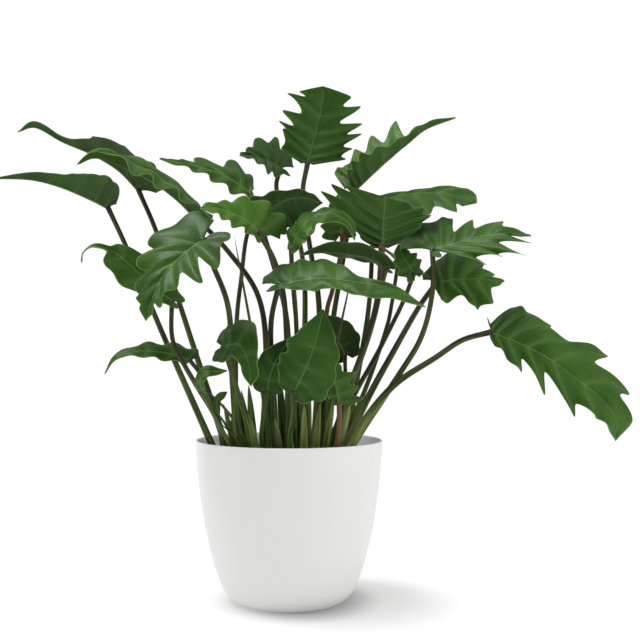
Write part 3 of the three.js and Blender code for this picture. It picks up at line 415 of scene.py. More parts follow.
grow(
    "26", fresh=0.5, cut=0.26, blunt=2, fold=4, wave=3, thick=(3.6, 2.1),
    face=[(-0.3, -0.5, 0.8), (0.4, -0.5, 0.75)],
    stem=[(12, -20, 112), (10, -26, 200), (6, -31, 280), (3, -34, 320), (2, -37, 340)],
    rib=[(10, -44, 358), (24, -52, 368), (40, -60, 370), (55, -64, 360), (60, -66, 344)],
    left=[(2, 16), (20, 38), (38, 28, 0.3), (58, 16), (80, 7)],
    right=[(0, 12), (16, 25), (38, 34), (57, 26, 0.2), (80, 7)],
)
grow(
    "27", fresh=1.0, green=0.6, ruddy=0.7, blunt=2.2, fold=10, droop=8, thick=(3.6, 2.3),
    face=[(0.1, 0.9, 0.3), (0.1, 0.9, 0.2)],
    stem=[(20, 2, 112), (28, 9, 155), (31, 12, 215), (37, 14, 281), (43, 14, 304), (52, 13, 342),
          (53, 12, 363)],
    rib=[(53, 11, 375), (51, 9, 388), (49, 7, 400)],
    left=[(-4, 14), (8, 17), (20, 16), (30, 9)],
    right=[(-6, 20), (6, 22), (18, 18), (30, 10)],
)
grow(
    "28", fresh=0.4, pale=0.5, cut=0.12, blunt=2.4, fold=12, droop=10, thick=(3.4, 2),
    face=[(0.3, -0.2, 0.9), (-0.2, -0.2, 1)],
    stem=[(44, 36, 112), (57, 32, 154), (77, 30, 204), (98, 34, 263), (105, 38, 289), (113, 44, 337)],
    rib=[(103, 43, 346), (90, 42, 351), (73, 41, 345)],
    left=[(-3, 8), (10, 11), (25, 10), (36, 4)],
)
grow(
    "29", fresh=0.25, pale=0.5, blunt=2.2, fold=8, droop=10, thick=(3.6, 2.2),
    face=[(0.4, -0.8, 0.4), (0.3, -0.8, 0.3)],
    stem=[(30, 8, 112), (41, 6, 156), (49, 4, 173), (70, 2, 212), (90, 1, 247), (111, 0, 289),
          (123, 0, 320)],
    rib=[(117, -1, 330), (111, 1, 340), (108, 4, 350)],
    left=[(-4, 12), (8, 18), (18, 16), (26, 8)],
)

# Sheaths and young shoots at the feet of the stalks: centre line, half width, greenness (0 is
# dry and brown), paleness.
SHEATHS = [
    ([(13, -48, 126), (14, -53, 160), (14, -56, 194)], 3.6, 2.0, 1.0),
    ([(-8, -52, 126), (-10, -57, 158), (-13, -60, 182)], 4.0, 2.0, 0.25),
    ([(22, -44, 126), (25, -49, 160), (29, -52, 196)], 4.0, 1.2, 0.35),
    ([(-19, -38, 126), (-21, -43, 165), (-25, -47, 204)], 3.6, 1.6, 0.1),
    ([(-30, -34, 126), (-34, -38, 165), (-38, -41, 212)], 4.0, 1.2, 0.05),
    ([(-27, -52, 126), (-31, -59, 158), (-37, -64, 186)], 3.6, 0.8, 0.5),
    ([(-40, -20, 126), (-45, -24, 165), (-49, -28, 206)], 3.2, 0.6, 0.05),
    ([(5, -22, 126), (4, -26, 170), (2, -30, 232)], 4.3, 2.2, 0.05),
    ([(-4, -10, 126), (-6, -13, 170), (-10, -16, 226)], 4.3, 1.8, 0.0),
    ([(17, -36, 126), (18, -40, 162), (19, -43, 218)], 3.2, 1.4, 0.1),
    ([(31, -38, 126), (35, -43, 160), (42, -48, 200)], 4.0, 1.8, 0.2),
    ([(42, -36, 126), (49, -40, 160), (58, -44, 196)], 4.0, 1.8, 0.75),
    ([(33, -8, 126), (37, -10, 165), (44, -12, 214)], 4.3, 1.0, 0.05),
    ([(47, -20, 126), (54, -22, 160), (64, -25, 196)], 3.6, 1.4, 0.45),
    ([(-16, 4, 126), (-18, 4, 170), (-22, 4, 220)], 4.3, 1.0, 0.0),
    ([(-48, -4, 126), (-56, -4, 160), (-64, -5, 192)], 3.6, 0.9, 0.1),
    ([(12, 8, 126), (13, 8, 170), (14, 8, 230)], 4.3, 1.0, 0.0),
    ([(36, 18, 126), (40, 19, 165), (46, 20, 205)], 4.0, 0.8, 0.1),
    ([(-36, 14, 126), (-41, 16, 165), (-48, 18, 205)], 4.0, 0.8, 0.1),
    ([(4, -58, 126), (3, -63, 150), (1, -66, 168)], 2.9, 0.5, 0.4),
    ([(-42, -40, 126), (-48, -46, 155), (-54, -50, 180)], 2.9, 0.7, 0.2),
    ([(-57, -61, 206), (-66, -62, 198), (-64, -62, 184)], 3.6, 1.6, 0.0),
]

# Thin stalks and dry threads: centre line, radius, greenness.
THREADS = [
    ([(-30, -48, 126), (-43, -55, 166), (-60, -61, 192), (-82, -64, 213)], 1.5, 0.5),
    ([(-32, -52, 126), (-49, -60, 162), (-63, -65, 178)], 1.2, 0.4),
    ([(-44, -34, 126), (-55, -52, 168), (-72, -66, 196)], 1.4, 0.8),
    ([(196, -21, 261), (193, -23, 268), (190, -24, 276)], 0.8, 0.1),
    ([(16, -16, 126), (10, -20, 230), (0, -22, 330)], 1.6, 0.5),
    ([(28, -18, 126), (40, -24, 220), (60, -30, 318)], 1.6, 0.5),
    ([(-14, -24, 126), (-30, -26, 230), (-52, -28, 352)], 1.5, 0.4),
]


# ---- curves

def hermite(t, start, end, leave, arrive):
    """The curve from start to end that leaves and arrives at the given slopes."""
    blend = 3 * t**2 - 2 * t**3
    bend = leave * (t**3 - 2 * t**2 + t) + arrive * (t**3 - t**2)
    return (1 - blend) * start + blend * end + bend


class Line:
    """A smooth line through stops, measured by its length in millimetres."""

    def __init__(self, stops, steps):
        p = np.array(stops, float)
        p = np.vstack([2 * p[0] - p[1], p, 2 * p[-1] - p[-2]])
        at = (len(stops) - 1) * np.arange(steps + 1) / steps
        k = np.minimum(at.astype(int), len(stops) - 2)
        before, start, end, after = p[k], p[k + 1], p[k + 2], p[k + 3]
        slopes = 0.5 * (end - before), 0.5 * (after - start)
        self.points = hermite((at - k)[:, None], start, end, *slopes)
        steps_along = np.linalg.norm(np.diff(self.points, axis=0), axis=1)
        self.reach = np.concatenate([[0], np.cumsum(steps_along)])
        self.length = self.reach[-1]

    def at(self, x):
        """The points at distances x along the line."""
        return np.stack([np.interp(x, self.reach, self.points[:, k]) for k in range(3)], axis=-1)

    def direction(self, x, span):
        """Unit directions at distances x, each taken over a share of the length."""
        h = span * self.length
        x = np.clip(x, h, self.length - h)
        return unit(self.at(x + h) - self.at(x - h))


def unit(v):
    return v / np.maximum(np.linalg.norm(v, axis=-1, keepdims=True), 1e-12)


def smooth(low, high, x):
    t = np.clip((x - low) / (high - low), 0, 1)
    return t * t * (3 - 2 * t)


# ---- meshes

def put(name, data):
    """A new object in the scene."""
    thing = bpy.data.objects.new(name, data)
    scene.collection.objects.link(thing)
    return thing


def mesh_object(name, vertices, faces, attributes, material, replaced=()):
    """A smooth-shaded piece from vertices in millimetres, riding on the one body."""
    mesh = bpy.data.meshes.new(name)
    mesh.from_pydata((np.asarray(vertices) * MM).tolist(), [], faces)
    mesh.polygons.foreach_set("use_smooth", [True] * len(mesh.polygons))
    for key, values in attributes.items():
        layer = mesh.attributes.new(key, "FLOAT", "POINT")
        layer.data.foreach_set("value", np.asarray(values, np.float32))
    mesh.update()
    mesh.materials.append(material)
    piece = put(name, mesh)
    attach(piece, "root")
    if replaced:
        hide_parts(*replaced)


def turned(profile, segments):
    """Vertices and faces of a closed profile of (radius, height) turned about the Z axis."""
    vertices = []
    rings = []
    for radius, z in profile:
        if radius < 1e-6:
            rings.append([len(vertices)] * segments)
            vertices.append((0, 0, z))
        else:
            rings.append(list(range(len(vertices), len(vertices) + segments)))
            for k in range(segments):
                angle = 2 * math.pi * k / segments
                vertices.append((radius * math.cos(angle), radius * math.sin(angle), z))
    faces = []
    for low, high in zip(rings, rings[1:]):
        for k in range(segments):
            n = (k + 1) % segments
            corners = [low[k], low[n], high[n], high[k]]
            faces.append(list(dict.fromkeys(corners)))
    return vertices, faces


# ---- blades

def half_outline(leaf, length, side):
    """Knots of one half's outline: phase, distance along the midrib, distance off it."""
    lobes = leaf["left" if side > 0 else "right"]
    end = len(lobes) - 1
    first = lobes[0]
    knots = [(0, first[0] - BASE_LEAN * first[1], BASE_SHARE * first[1])]
    for k, lobe in enumerate(lobes):
        knots.append((k + (LOBE_PEAK if k < end else END_LOBE_MIDDLE), lobe[0], lobe[1]))
    knots.append((end + 1, length, 0))
    return np.array(knots, float)


def through_knots(knots, phase):
    """The smooth outline through the knots, at each phase."""
    last = len(knots) - 1
    i = np.clip(np.searchsorted(knots[:, 0], phase), 1, last)
    before = np.maximum(i - 2, 0)
    after = np.minimum(i + 1, last)
    h = knots[i, 0] - knots[i - 1, 0]
    t = (phase - knots[i - 1, 0]) / h
    found = []
    for axis in (1, 2):
        value = knots[:, axis]
        leave = h * (value[i] - value[before]) / (knots[i, 0] - knots[before, 0])
        arrive = h * (value[after] - value[i - 1]) / (knots[after, 0] - knots[i - 1, 0])
        found.append(hermite(t, value[i - 1], value[i], leave, arrive))
    return found


def bay_depth(leaf, side, phase):
    """How much of a half's reach the bays between the lobes take away, at each phase."""
    lobes = leaf["left" if side > 0 else "right"]
    end = len(lobes) - 1
    cuts = [lobe[2] if len(lobe) > 2 else leaf["cut"] for lobe in lobes] + [0]
    if len(lobes[0]) < 3:
        cuts[0] = BASE_CUT
    k = np.minimum(np.floor(phase), end).astype(int)
    p = phase - k
    peak = np.where(k < end, LOBE_PEAK, END_LOBE_MIDDLE)
    rising = p <= peak
    bent = np.where(rising, 0.5 * p / peak, 0.5 + 0.5 * (p - peak) / (1 - peak))
    cut = np.array(cuts)[np.where(rising, k, np.minimum(k + 1, end + 1))]
    return cut * np.abs(np.cos(np.pi * bent)) ** leaf["blunt"]


def vein_root(leaf, length, u):
    """How far along the midrib the row of points at u starts."""
    return length * u ** leaf["crowd"]


def flat_point(leaf, length, u, rho, side):
    """Where u along and rho across lies on the blade laid flat: x along the midrib, y off it."""
    phase = len(leaf["left"]) * u
    start = vein_root(leaf, length, u)
    x = np.zeros_like(u)
    y = np.zeros_like(u)
    for half in (1, -1):
        edge_x, edge_y = through_knots(half_outline(leaf, length, half), phase)
        reach = rho * (1 - bay_depth(leaf, half, phase))
        here = side == half
        x = np.where(here, start + reach * (edge_x - start), x)
        y = np.where(here, reach * edge_y, y)
    return x, y


def widest(leaf):
    return max(lobe[1] for lobe in leaf["left"] + leaf["right"])


def place(leaf, line, u, rho, side):
    """Points of the blade's middle surface, bent along its midrib, and their flat places."""
    x, y = flat_point(leaf, line.length, u, rho, side)
    first, last = unit(np.array(leaf["face"], float))
    tangent = line.direction(x, MIDRIB_SPAN)
    inside = np.clip(x, 0, line.length)
    spot = line.at(inside) + tangent * (x - inside)[..., None]
    share = (inside / line.length)[..., None]
    up = first * (1 - share) + last * share
    up = unit(up - tangent * np.sum(up * tangent, axis=-1, keepdims=True))
    left = np.cross(up, tangent)
    tilt = np.radians(leaf["fold"] - leaf["droop"] * y / widest(leaf))
    swing = np.sin(2 * np.pi * len(leaf["left"]) * u + RIPPLE_SHIFT * side)
    ripple = leaf["wave"] * rho**2 * np.minimum(1, y / WAVY_WIDTH) * swing
    fade = np.minimum(1, RIPPLE_FADE * np.minimum(u, 1 - u))
    rise = y * np.sin(tilt) + ripple * fade + leaf["heel"] * np.maximum(-x, 0)
    spot = spot + left * (side * y * np.cos(tilt))[..., None] + up * rise[..., None]
    return spot, x, y


def vein_distance(leaf, length, x, y, side):
    """Distance on the flat blade from each point to its half's nearest lateral vein."""
    count = len(leaf["left"])
    nearest = np.full_like(x, FAR)
    for half in (1, -1):
        knots = half_outline(leaf, length, half)
        for k in range(count - 1):
            root = vein_root(leaf, length, (k + LOBE_PEAK) / count)
            run_x, run_y = knots[k + 1, 1] - root, knots[k + 1, 2]
            share = np.clip(((x - root) * run_x + y * run_y) / (run_x**2 + run_y**2), 0, 1)
            sag = VEIN_SAG * np.sin(np.pi * share) * math.hypot(run_x, run_y)
            gap = np.hypot(x - root - share * run_x + sag * 0.5, y - share * run_y - sag * 0.5)
            nearest = np.where(side == half, np.minimum(nearest, gap + VEIN_TAPER * share), nearest)
    return nearest


def grid_normals(grid, tip):
    """Unit normals of a grid of points whose last row runs into one tip."""
    closed = np.concatenate([grid, np.broadcast_to(tip, (1,) + grid.shape[1:])])
    along = np.gradient(closed, axis=0)[:-1]
    across = np.gradient(closed, axis=1)[:-1]
    return unit(np.cross(along, across))


def blade_stations(leaf):
    """Values of u along the midrib, with one on each lateral vein, short of the tip."""
    before = np.linspace(0, LOBE_PEAK, STEPS_BEFORE_VEIN, endpoint=False)
    after = np.linspace(LOBE_PEAK, 1, STEPS_AFTER_VEIN, endpoint=False)
    one = np.concatenate([before, after])
    count = len(leaf["left"])
    return np.concatenate([(k + one) / count for k in range(count)])


def blade(key, leaf, material, replaced):
    """One leaf blade: a thin solid with a ribbed underside and a surface pillowed between veins."""
    line = Line(leaf["rib"], MIDRIB_STEPS)
    halves = np.array(HALF_COLUMNS)
    rho_row = np.concatenate([halves[:0:-1], halves])
    side_row = np.concatenate([np.ones(len(halves) - 1), -np.ones(len(halves))])
    u, rho = np.meshgrid(blade_stations(leaf), rho_row, indexing="ij")
    side = np.broadcast_to(side_row, u.shape)
    spot, x, y = place(leaf, line, u, rho, side)
    tip = place(leaf, line, np.array([1.0]), np.array([0.0]), np.array([1.0]))[0][0]
    normal = grid_normals(spot, tip)
    flip = np.sum(normal.sum(axis=(0, 1)) * leaf["face"][0]) < 0
    if flip:
        normal = -normal

    from_vein = vein_distance(leaf, line.length, x, y, side)
    dip = np.exp(-((from_vein / VEIN_HALF_WIDTH) ** 2)) * smooth(0, 0.1, rho) * (1 - rho**2)
    fold_dip = np.exp(-((y / MIDRIB_DIP_WIDTH) ** 2)) * (1 - 0.7 * u)
    between = 0.5 + 0.5 * np.cos(2 * np.pi * (len(leaf["left"]) * u - LOBE_PEAK + 0.5))
    pillow = between * np.sin(np.pi * rho) * min(1, widest(leaf) / FULL_PILLOW_WIDTH)
    seed = float(key)
    drift = np.sin(DRIFT_ALONG * x + 2.1 * seed) * np.sin(DRIFT_ACROSS * y + 1.3 * seed + side)
    relief = PILLOW * pillow - VEIN_DIP * (dip + fold_dip) + DRIFT_HEIGHT * drift * rho
    middle = spot + normal * relief[..., None]

    thinning = (BLADE_THICKNESS - MARGIN_THICKNESS) * (1 - smooth(MARGIN_START, 1, rho))
    half_thick = 0.5 * (MARGIN_THICKNESS + thinning)
    rib = RIB_DEPTH * (1 - 0.8 * u) * np.exp(-((y / RIB_WIDTH) ** 2))
    side_rib = SIDE_RIB_DEPTH * dip * (1 - u)
    top = middle + normal * half_thick[..., None]
    under = middle - normal * (half_thick + rib + side_rib)[..., None]
    tip_lift = TIP_HALF_THICKNESS * unit(normal[-1].sum(axis=0))
    rows, columns = u.shape
    count = rows * columns + 1
    vertices = np.concatenate([
        top.reshape(-1, 3), [tip + tip_lift], under.reshape(-1, 3), [tip - tip_lift],
    ])

    faces = []
    for a in range((rows - 1) * columns):
        b, c, d = a + 1, a + 1 + columns, a + columns
        if b % columns:
            faces.append([a, b, c, d])
            faces.append([a + count, d + count, c + count, b + count])
    last_row = (rows - 1) * columns
    for a in range(last_row, last_row + columns - 1):
        faces.append([a, a + 1, count - 1])
        faces.append([a + count, 2 * count - 1, a + 1 + count])
    border = list(range(columns - 1)) + list(range(columns - 1, count - 1, columns))
    border += [count - 1] + list(range(last_row, 0, -columns))
    for a, b in zip(border, border[1:] + border[:1]):
        faces.append([b, a, a + count, b + count])
    if flip:
        faces = [face[::-1] for face in faces]

    def both(values, at_tip):
        return np.tile(np.append(values, at_tip), 2)

    rim = (1 - rho) * np.hypot(x - vein_root(leaf, line.length, u), y) / np.maximum(rho, 0.05)
    attributes = {
        "vein": both(from_vein, VEINLESS),
        "rib": both(y / (1.3 - 0.9 * u), 0),
        "rim": both(rim, 0),
        "along": both(u, 1),
        "upper": np.repeat([1.0, 0.0], count),
        "fresh": np.full(2 * count, leaf["fresh"]),
        "own": np.full(2 * count, math.fmod(seed * GOLDEN, 1)),
    }
    mesh_object(f"leaf_blade_{key}", vertices, faces, attributes, material, replaced)


# ---- stalks

def tube(centre, across, other, wide, deep):
    """Rings of points around a line: as wide and deep as given, from each centre."""
    rings = centre[:, None] + across[:, None] * wide[..., None] + other[:, None] * deep[..., None]
    steps, sides = wide.shape
    faces = [list(range(sides))[::-1], [(steps - 1) * sides + k for k in range(sides)]]
    for i in range(steps - 1):
        for k in range(sides):
            a, b = i * sides + k, i * sides + (k + 1) % sides
            faces.append([a, b, b + sides, a + sides])
    return rings.reshape(-1, 3), faces


def skin_attributes(share, reach, sides, green, pale, ruddy, own):
    """What the stalks' material reads at each point of each ring."""
    angles = 2 * np.pi * np.arange(sides) / sides
    around = {"ring_x": np.cos(angles), "ring_y": np.sin(angles)}
    along = {
        "along": share, "reach": reach * MM, "green": green, "pale": pale, "ruddy": ruddy, "own": own,
    }
    rings = len(share)
    found = {key: np.tile(values, rings) for key, values in around.items()}
    for key, values in along.items():
        found[key] = np.repeat(np.broadcast_to(values, rings), sides)
    return found


def stalk(key, leaf, material, replaced):
    """One leaf stalk: grooved on its inner side, sheathing at the foot, swollen at the blade."""
    line = Line(leaf["stem"], STEM_STEPS)
    share = np.linspace(0, 1, STALK_STEPS + 1)
    reach = share * (line.length + STALK_SEAT)
    tangent = line.direction(reach, STALK_SPAN)
    inside = np.minimum(reach, line.length)
    centre = line.at(inside) + tangent * (reach - inside)[:, None]
    foot, top = leaf["thick"]
    swell = 1 + SWELL * np.exp(-(((share - 1) * line.length / SWELL_LENGTH) ** 2))
    radius = (top + (foot - top) * (1 - share) ** 2) * swell
    sheath = smooth(SHEATH_TOP, SHEATH_FULL, share)[:, None]
    sway = STALK_SWAY * np.sin(share * SWAY_TURN + float(key)) * np.sin(np.pi * share)

    across = np.zeros_like(tangent)
    step = np.array([1.0, 0, 0])
    for i, way in enumerate(tangent):
        step = unit(step - way * np.dot(step, way))
        across[i] = step
    other = np.cross(tangent, across)
    inward = unit(np.array([-leaf["stem"][0][0], -leaf["stem"][0][1] - 1, 0.0]))
    turn = np.arctan2(other @ inward, across @ inward)
    angle = 2 * np.pi * np.arange(STALK_SIDES) / STALK_SIDES
    facing = np.cos(angle - turn[:, None])
    groove = GROOVE * np.maximum(0, facing) ** 6 * (0.4 + 0.6 * sheath)
    broad = 1 + SHEATH_BREADTH * sheath * (1 - facing**2)
    r = radius[:, None] * (1 - groove) * broad
    centre = centre + across * sway[:, None]
    vertices, faces = tube(centre, across, other, r * np.cos(angle), r * np.sin(angle))
    attributes = skin_attributes(
        share, reach, STALK_SIDES,
        green=leaf["green"],
        pale=leaf["pale"] * smooth(0.5, 0.1, share),
        ruddy=leaf["ruddy"] * smooth(0.05, 0.4, share),
        own=math.fmod(float(key) * GOLDEN, 1),
    )
    mesh_object(f"leaf_stalk_{key}", vertices, faces, attributes, material, replaced)


def spike(name, stops, half_width, flatness, green, pale, material):
    """A sheath, shoot or thread: pointed at its top, and flattened across the way it faces."""
    line = Line(stops, SPIKE_LINE_STEPS)
    share = np.linspace(0, 1, SPIKE_STEPS + 1)
    reach = share * line.length
    tangent = line.direction(reach, SPIKE_SPAN)
    width = half_width * (1 - share**4) ** 0.9 * smooth(-0.08, 0.25, share) + SPIKE_TIP_RADIUS
    facing = np.array([SPIKE_TURN * stops[0][0], stops[0][1] - SPIKE_BACK, 0.0])
    outward = unit(facing - tangent * (tangent @ facing)[:, None])
    across = np.cross(tangent, outward)
    angle = 2 * np.pi * np.arange(SPIKE_SIDES) / SPIKE_SIDES
    radius = width[:, None] * (1 + SPIKE_RIDGE_HEIGHT * np.sin(SPIKE_RIDGES * angle))
    wide = radius * np.cos(angle)
    deep = radius * flatness * np.sin(angle)
    vertices, faces = tube(line.at(reach), across, outward, wide, deep)
    faces = [face[::-1] for face in faces]
    own = math.fmod(stops[0][0] * SPIKE_VARIETY, 1)
    attributes = skin_attributes(share, reach, SPIKE_SIDES, green, pale, 0.0, own)
    mesh_object(name, vertices, faces, attributes, material)


# ---- pots and soil

def pot_radius(z):
    """The cover pot's outer radius at a height."""
    t = (POT_HEIGHT - z) / POT_HEIGHT
    first, second, fourth = POT_LEAN
    lean = first * t + second * t * t + fourth * t**4
    low = max(0, (POT_FILLET - z) / POT_FILLET)
    fillet = FILLET_PULL * POT_FILLET * (1 - math.sqrt(1 - low * low))
    return POT_RIM_RADIUS - (POT_RIM_RADIUS - POT_FOOT_RADIUS) * lean - fillet


def cover_pot(material):
    """The white cover pot: a thin shell with a rounded foot and a rounded rim."""
    profile = [(0, 0)]
    low = [1 - math.cos(0.5 * math.pi * k / POT_FOOT_STEPS) for k in range(POT_FOOT_STEPS)]
    step = (POT_HEIGHT - POT_RIM_ROUNDING - POT_FILLET) / POT_SIDE_STEPS
    heights = [POT_FILLET * share for share in low]
    heights += [POT_FILLET + step * k for k in range(POT_SIDE_STEPS + 1)]
    profile += [(pot_radius(z), z) for z in heights]
    middle = POT_RIM_RADIUS - 0.5 * POT_WALL
    for k in range(1, POT_RIM_STEPS):
        angle = math.pi * k / POT_RIM_STEPS
        r = middle + 0.5 * POT_WALL * math.cos(angle)
        profile.append((r, POT_HEIGHT - POT_RIM_ROUNDING * (1 - math.sin(angle))))
    top = POT_HEIGHT - 2 * POT_RIM_ROUNDING
    step = (top - POT_INSIDE_LOW) / POT_INSIDE_STEPS
    inside = [top - step * k for k in range(POT_INSIDE_STEPS)]
    profile += [(pot_radius(z) - POT_WALL, z) for z in inside]
    profile += [(pot_radius(POT_FLOOR) - 2 * POT_WALL, POT_FLOOR), (0, POT_FLOOR)]
    vertices, faces = turned(profile, POT_SEGMENTS)
    mesh_object("cover_pot_shell", vertices, faces, {}, material, ["cover_pot"])


def liner_radius(z):
    share = (z - LINER_FLOOR_BOTTOM) / (LINER_HEIGHT - LINER_FLOOR_BOTTOM)
    return LINER_FOOT_RADIUS + (LINER_RIM_RADIUS - LINER_FOOT_RADIUS) * share


def growers_pot(material):
    """The dark pot inside, with a rolled lip."""
    lip_z = LINER_HEIGHT - LINER_LIP_HEIGHT
    lip = liner_radius(lip_z) + LINER_LIP
    rim = LINER_RIM_RADIUS + LINER_LIP
    mouth = LINER_RIM_RADIUS - LINER_WALL
    profile = [(0, LINER_FLOOR_BOTTOM), (LINER_FOOT_RADIUS - 1, LINER_FLOOR_BOTTOM)]
    profile += [(LINER_FOOT_RADIUS, LINER_FLOOR_BOTTOM + 1)]
    profile += [(liner_radius(lip_z * k / 12), lip_z * k / 12) for k in range(1, 13)]
    profile += [(lip - 0.4, lip_z), (lip, lip_z + 0.5), (rim, LINER_HEIGHT - 0.6)]
    profile += [(rim - 0.5, LINER_HEIGHT), (mouth + 0.4, LINER_HEIGHT), (mouth, LINER_HEIGHT - 0.5)]
    profile += [(liner_radius(LINER_FLOOR_TOP) - LINER_WALL, LINER_FLOOR_TOP), (0, LINER_FLOOR_TOP)]
    vertices, faces = turned(profile, LINER_SEGMENTS)
    mesh_object("growers_pot_shell", vertices, faces, {}, material, ["growers_pot"])


def soil_height(x, y):
    """The lumpy top of the soil at one place."""
    coarse = math.sin(0.11 * x + 0.6) * math.cos(0.13 * y) + 0.4 * math.sin(0.31 * x - 0.27 * y)
    fine = math.sin(0.9 * x + 1.7 * math.sin(0.5 * y)) * math.sin(0.8 * y + 1.3 * math.sin(0.6 * x))
    return SOIL_TOP + SOIL_BUMP * coarse + 0.5 * fine


def soil(material):
    """The soil: a body as wide as the inner pot, with a lumpy top."""
    edge = liner_radius(SOIL_TOP) - LINER_WALL - SOIL_GAP
    low = liner_radius(LINER_FLOOR_TOP) - LINER_WALL - SOIL_GAP
    bottom = LINER_FLOOR_TOP + 0.3
    profile = [(0, bottom), (low, bottom), (edge, SOIL_TOP - 2.5)]
    profile += [(edge * k / SOIL_RINGS, SOIL_TOP) for k in range(SOIL_RINGS - 1, -1, -1)]
    vertices, faces = turned(profile, SOIL_SEGMENTS)
    shaped = [(x, y, soil_height(x, y) if z > SOIL_TOP - 1 else z) for x, y, z in vertices]
    mesh_object("soil_body", shaped, faces, {}, material, ["potting_soil"])


def soil_crumbs(material):
    """Loose crumbs and fibres of peat that lie on the soil, as one piece."""
    draw = random.Random(CRUMB_SEED)
    vertices = []
    faces = []
    corners = [(1, 0, 0), (-1, 0, 0), (0, 1, 0), (0, -1, 0), (0, 0, 1), (0, 0, -1)]
    sides = [(0, 2, 4), (2, 1, 4), (1, 3, 4), (3, 0, 4), (2, 0, 5), (1, 2, 5), (3, 1, 5), (0, 3, 5)]
    for _ in range(SOIL_CRUMBS):
        radius = CRUMB_REACH * math.sqrt(draw.random())
        angle = draw.uniform(0, 2 * math.pi)
        x, y = radius * math.cos(angle), radius * math.sin(angle)
        size = draw.uniform(*CRUMB_SIZES)
        stretch = draw.choice([1, 1, 1.4, 2.4])
        turn = draw.uniform(0, math.pi)
        z = soil_height(x, y) + 0.25 * size
        base = len(vertices)
        for cx, cy, cz in corners:
            long = size * stretch * cx * draw.uniform(0.7, 1.2)
            wide = size * cy * draw.uniform(0.7, 1.2)
            vertices.append((
                x + long * math.cos(turn) - wide * math.sin(turn),
                y + long * math.sin(turn) + wide * math.cos(turn),
                z + size * 0.7 * cz * draw.uniform(0.7, 1.2),
            ))
        faces += [[base + k for k in side] for side in sides]
    mesh_object("soil_crumbs", vertices, faces, {}, material)


# ---- material helpers

class Nodes:
    """A node tree, with short ways to add to it."""

    def __init__(self, tree):
        self.tree = tree

    def fill(self, socket, value):
        """Link a socket or set it. A colour is given as its three numbers."""
        if isinstance(value, bpy.types.NodeSocket):
            self.tree.links.new(value, socket)
        elif socket.type == "RGBA":
            socket.default_value = (*value, 1)
        else:
            socket.default_value = value

    def add(self, kind, inputs=None, **settings):
        """One node, its settings, and its inputs as values or links."""
        node = self.tree.nodes.new(kind)
        for key, value in settings.items():
            setattr(node, key, value)
        for key, value in (inputs or {}).items():
            self.fill(node.inputs[key], value)
        return node

    def first(self, kind, inputs=None, **settings):
        """The first output of one node."""
        return self.add(kind, inputs, **settings).outputs[0]

    def maths(self, operation, first, second=0.0, third=0.0):
        inputs = {0: first, 1: second, 2: third}
        return self.first("ShaderNodeMath", inputs, operation=operation)

    def sum_of(self, value, times, more):
        """value times the second number, plus the third."""
        return self.maths("MULTIPLY_ADD", value, times, more)

    def attribute(self, name):
        return self.add("ShaderNodeAttribute", attribute_name=name).outputs["Fac"]

    def remap(self, value, low, high, to_low, to_high):
        """value taken smoothly from low..high to to_low..to_high, and held beyond."""
        inputs = {0: value, 1: low, 2: high, 3: to_low, 4: to_high}
        return self.first("ShaderNodeMapRange", inputs, interpolation_type="SMOOTHSTEP")

    def mix(self, factor, first, second):
        inputs = {"Factor": factor, 6: first, 7: second}
        return self.add("ShaderNodeMix", inputs, data_type="RGBA").outputs[2]

    def place(self):
        return self.add("ShaderNodeTexCoord").outputs["Object"]

    def noise(self, scale, detail, roughness=0.55, vector=None):
        inputs = {"Scale": scale, "Detail": detail, "Roughness": roughness}
        inputs["Vector"] = vector or self.place()
        return self.first("ShaderNodeTexNoise", inputs)

    def bump(self, height, strength, distance, **onto):
        inputs = {"Height": height, "Strength": strength, "Distance": distance, **onto}
        return self.first("ShaderNodeBump", inputs)

    def surface(self, **sockets):
        """Fill the surface shader's sockets, named with underscores for blanks."""
        for key, value in sockets.items():
            self.fill(self.tree.nodes["Principled BSDF"].inputs[key.replace("_", " ")], value)


def new_material(name):
    material = bpy.data.materials.new(name)
    material.use_nodes = True
    return material, Nodes(material.node_tree)


# ---- materials

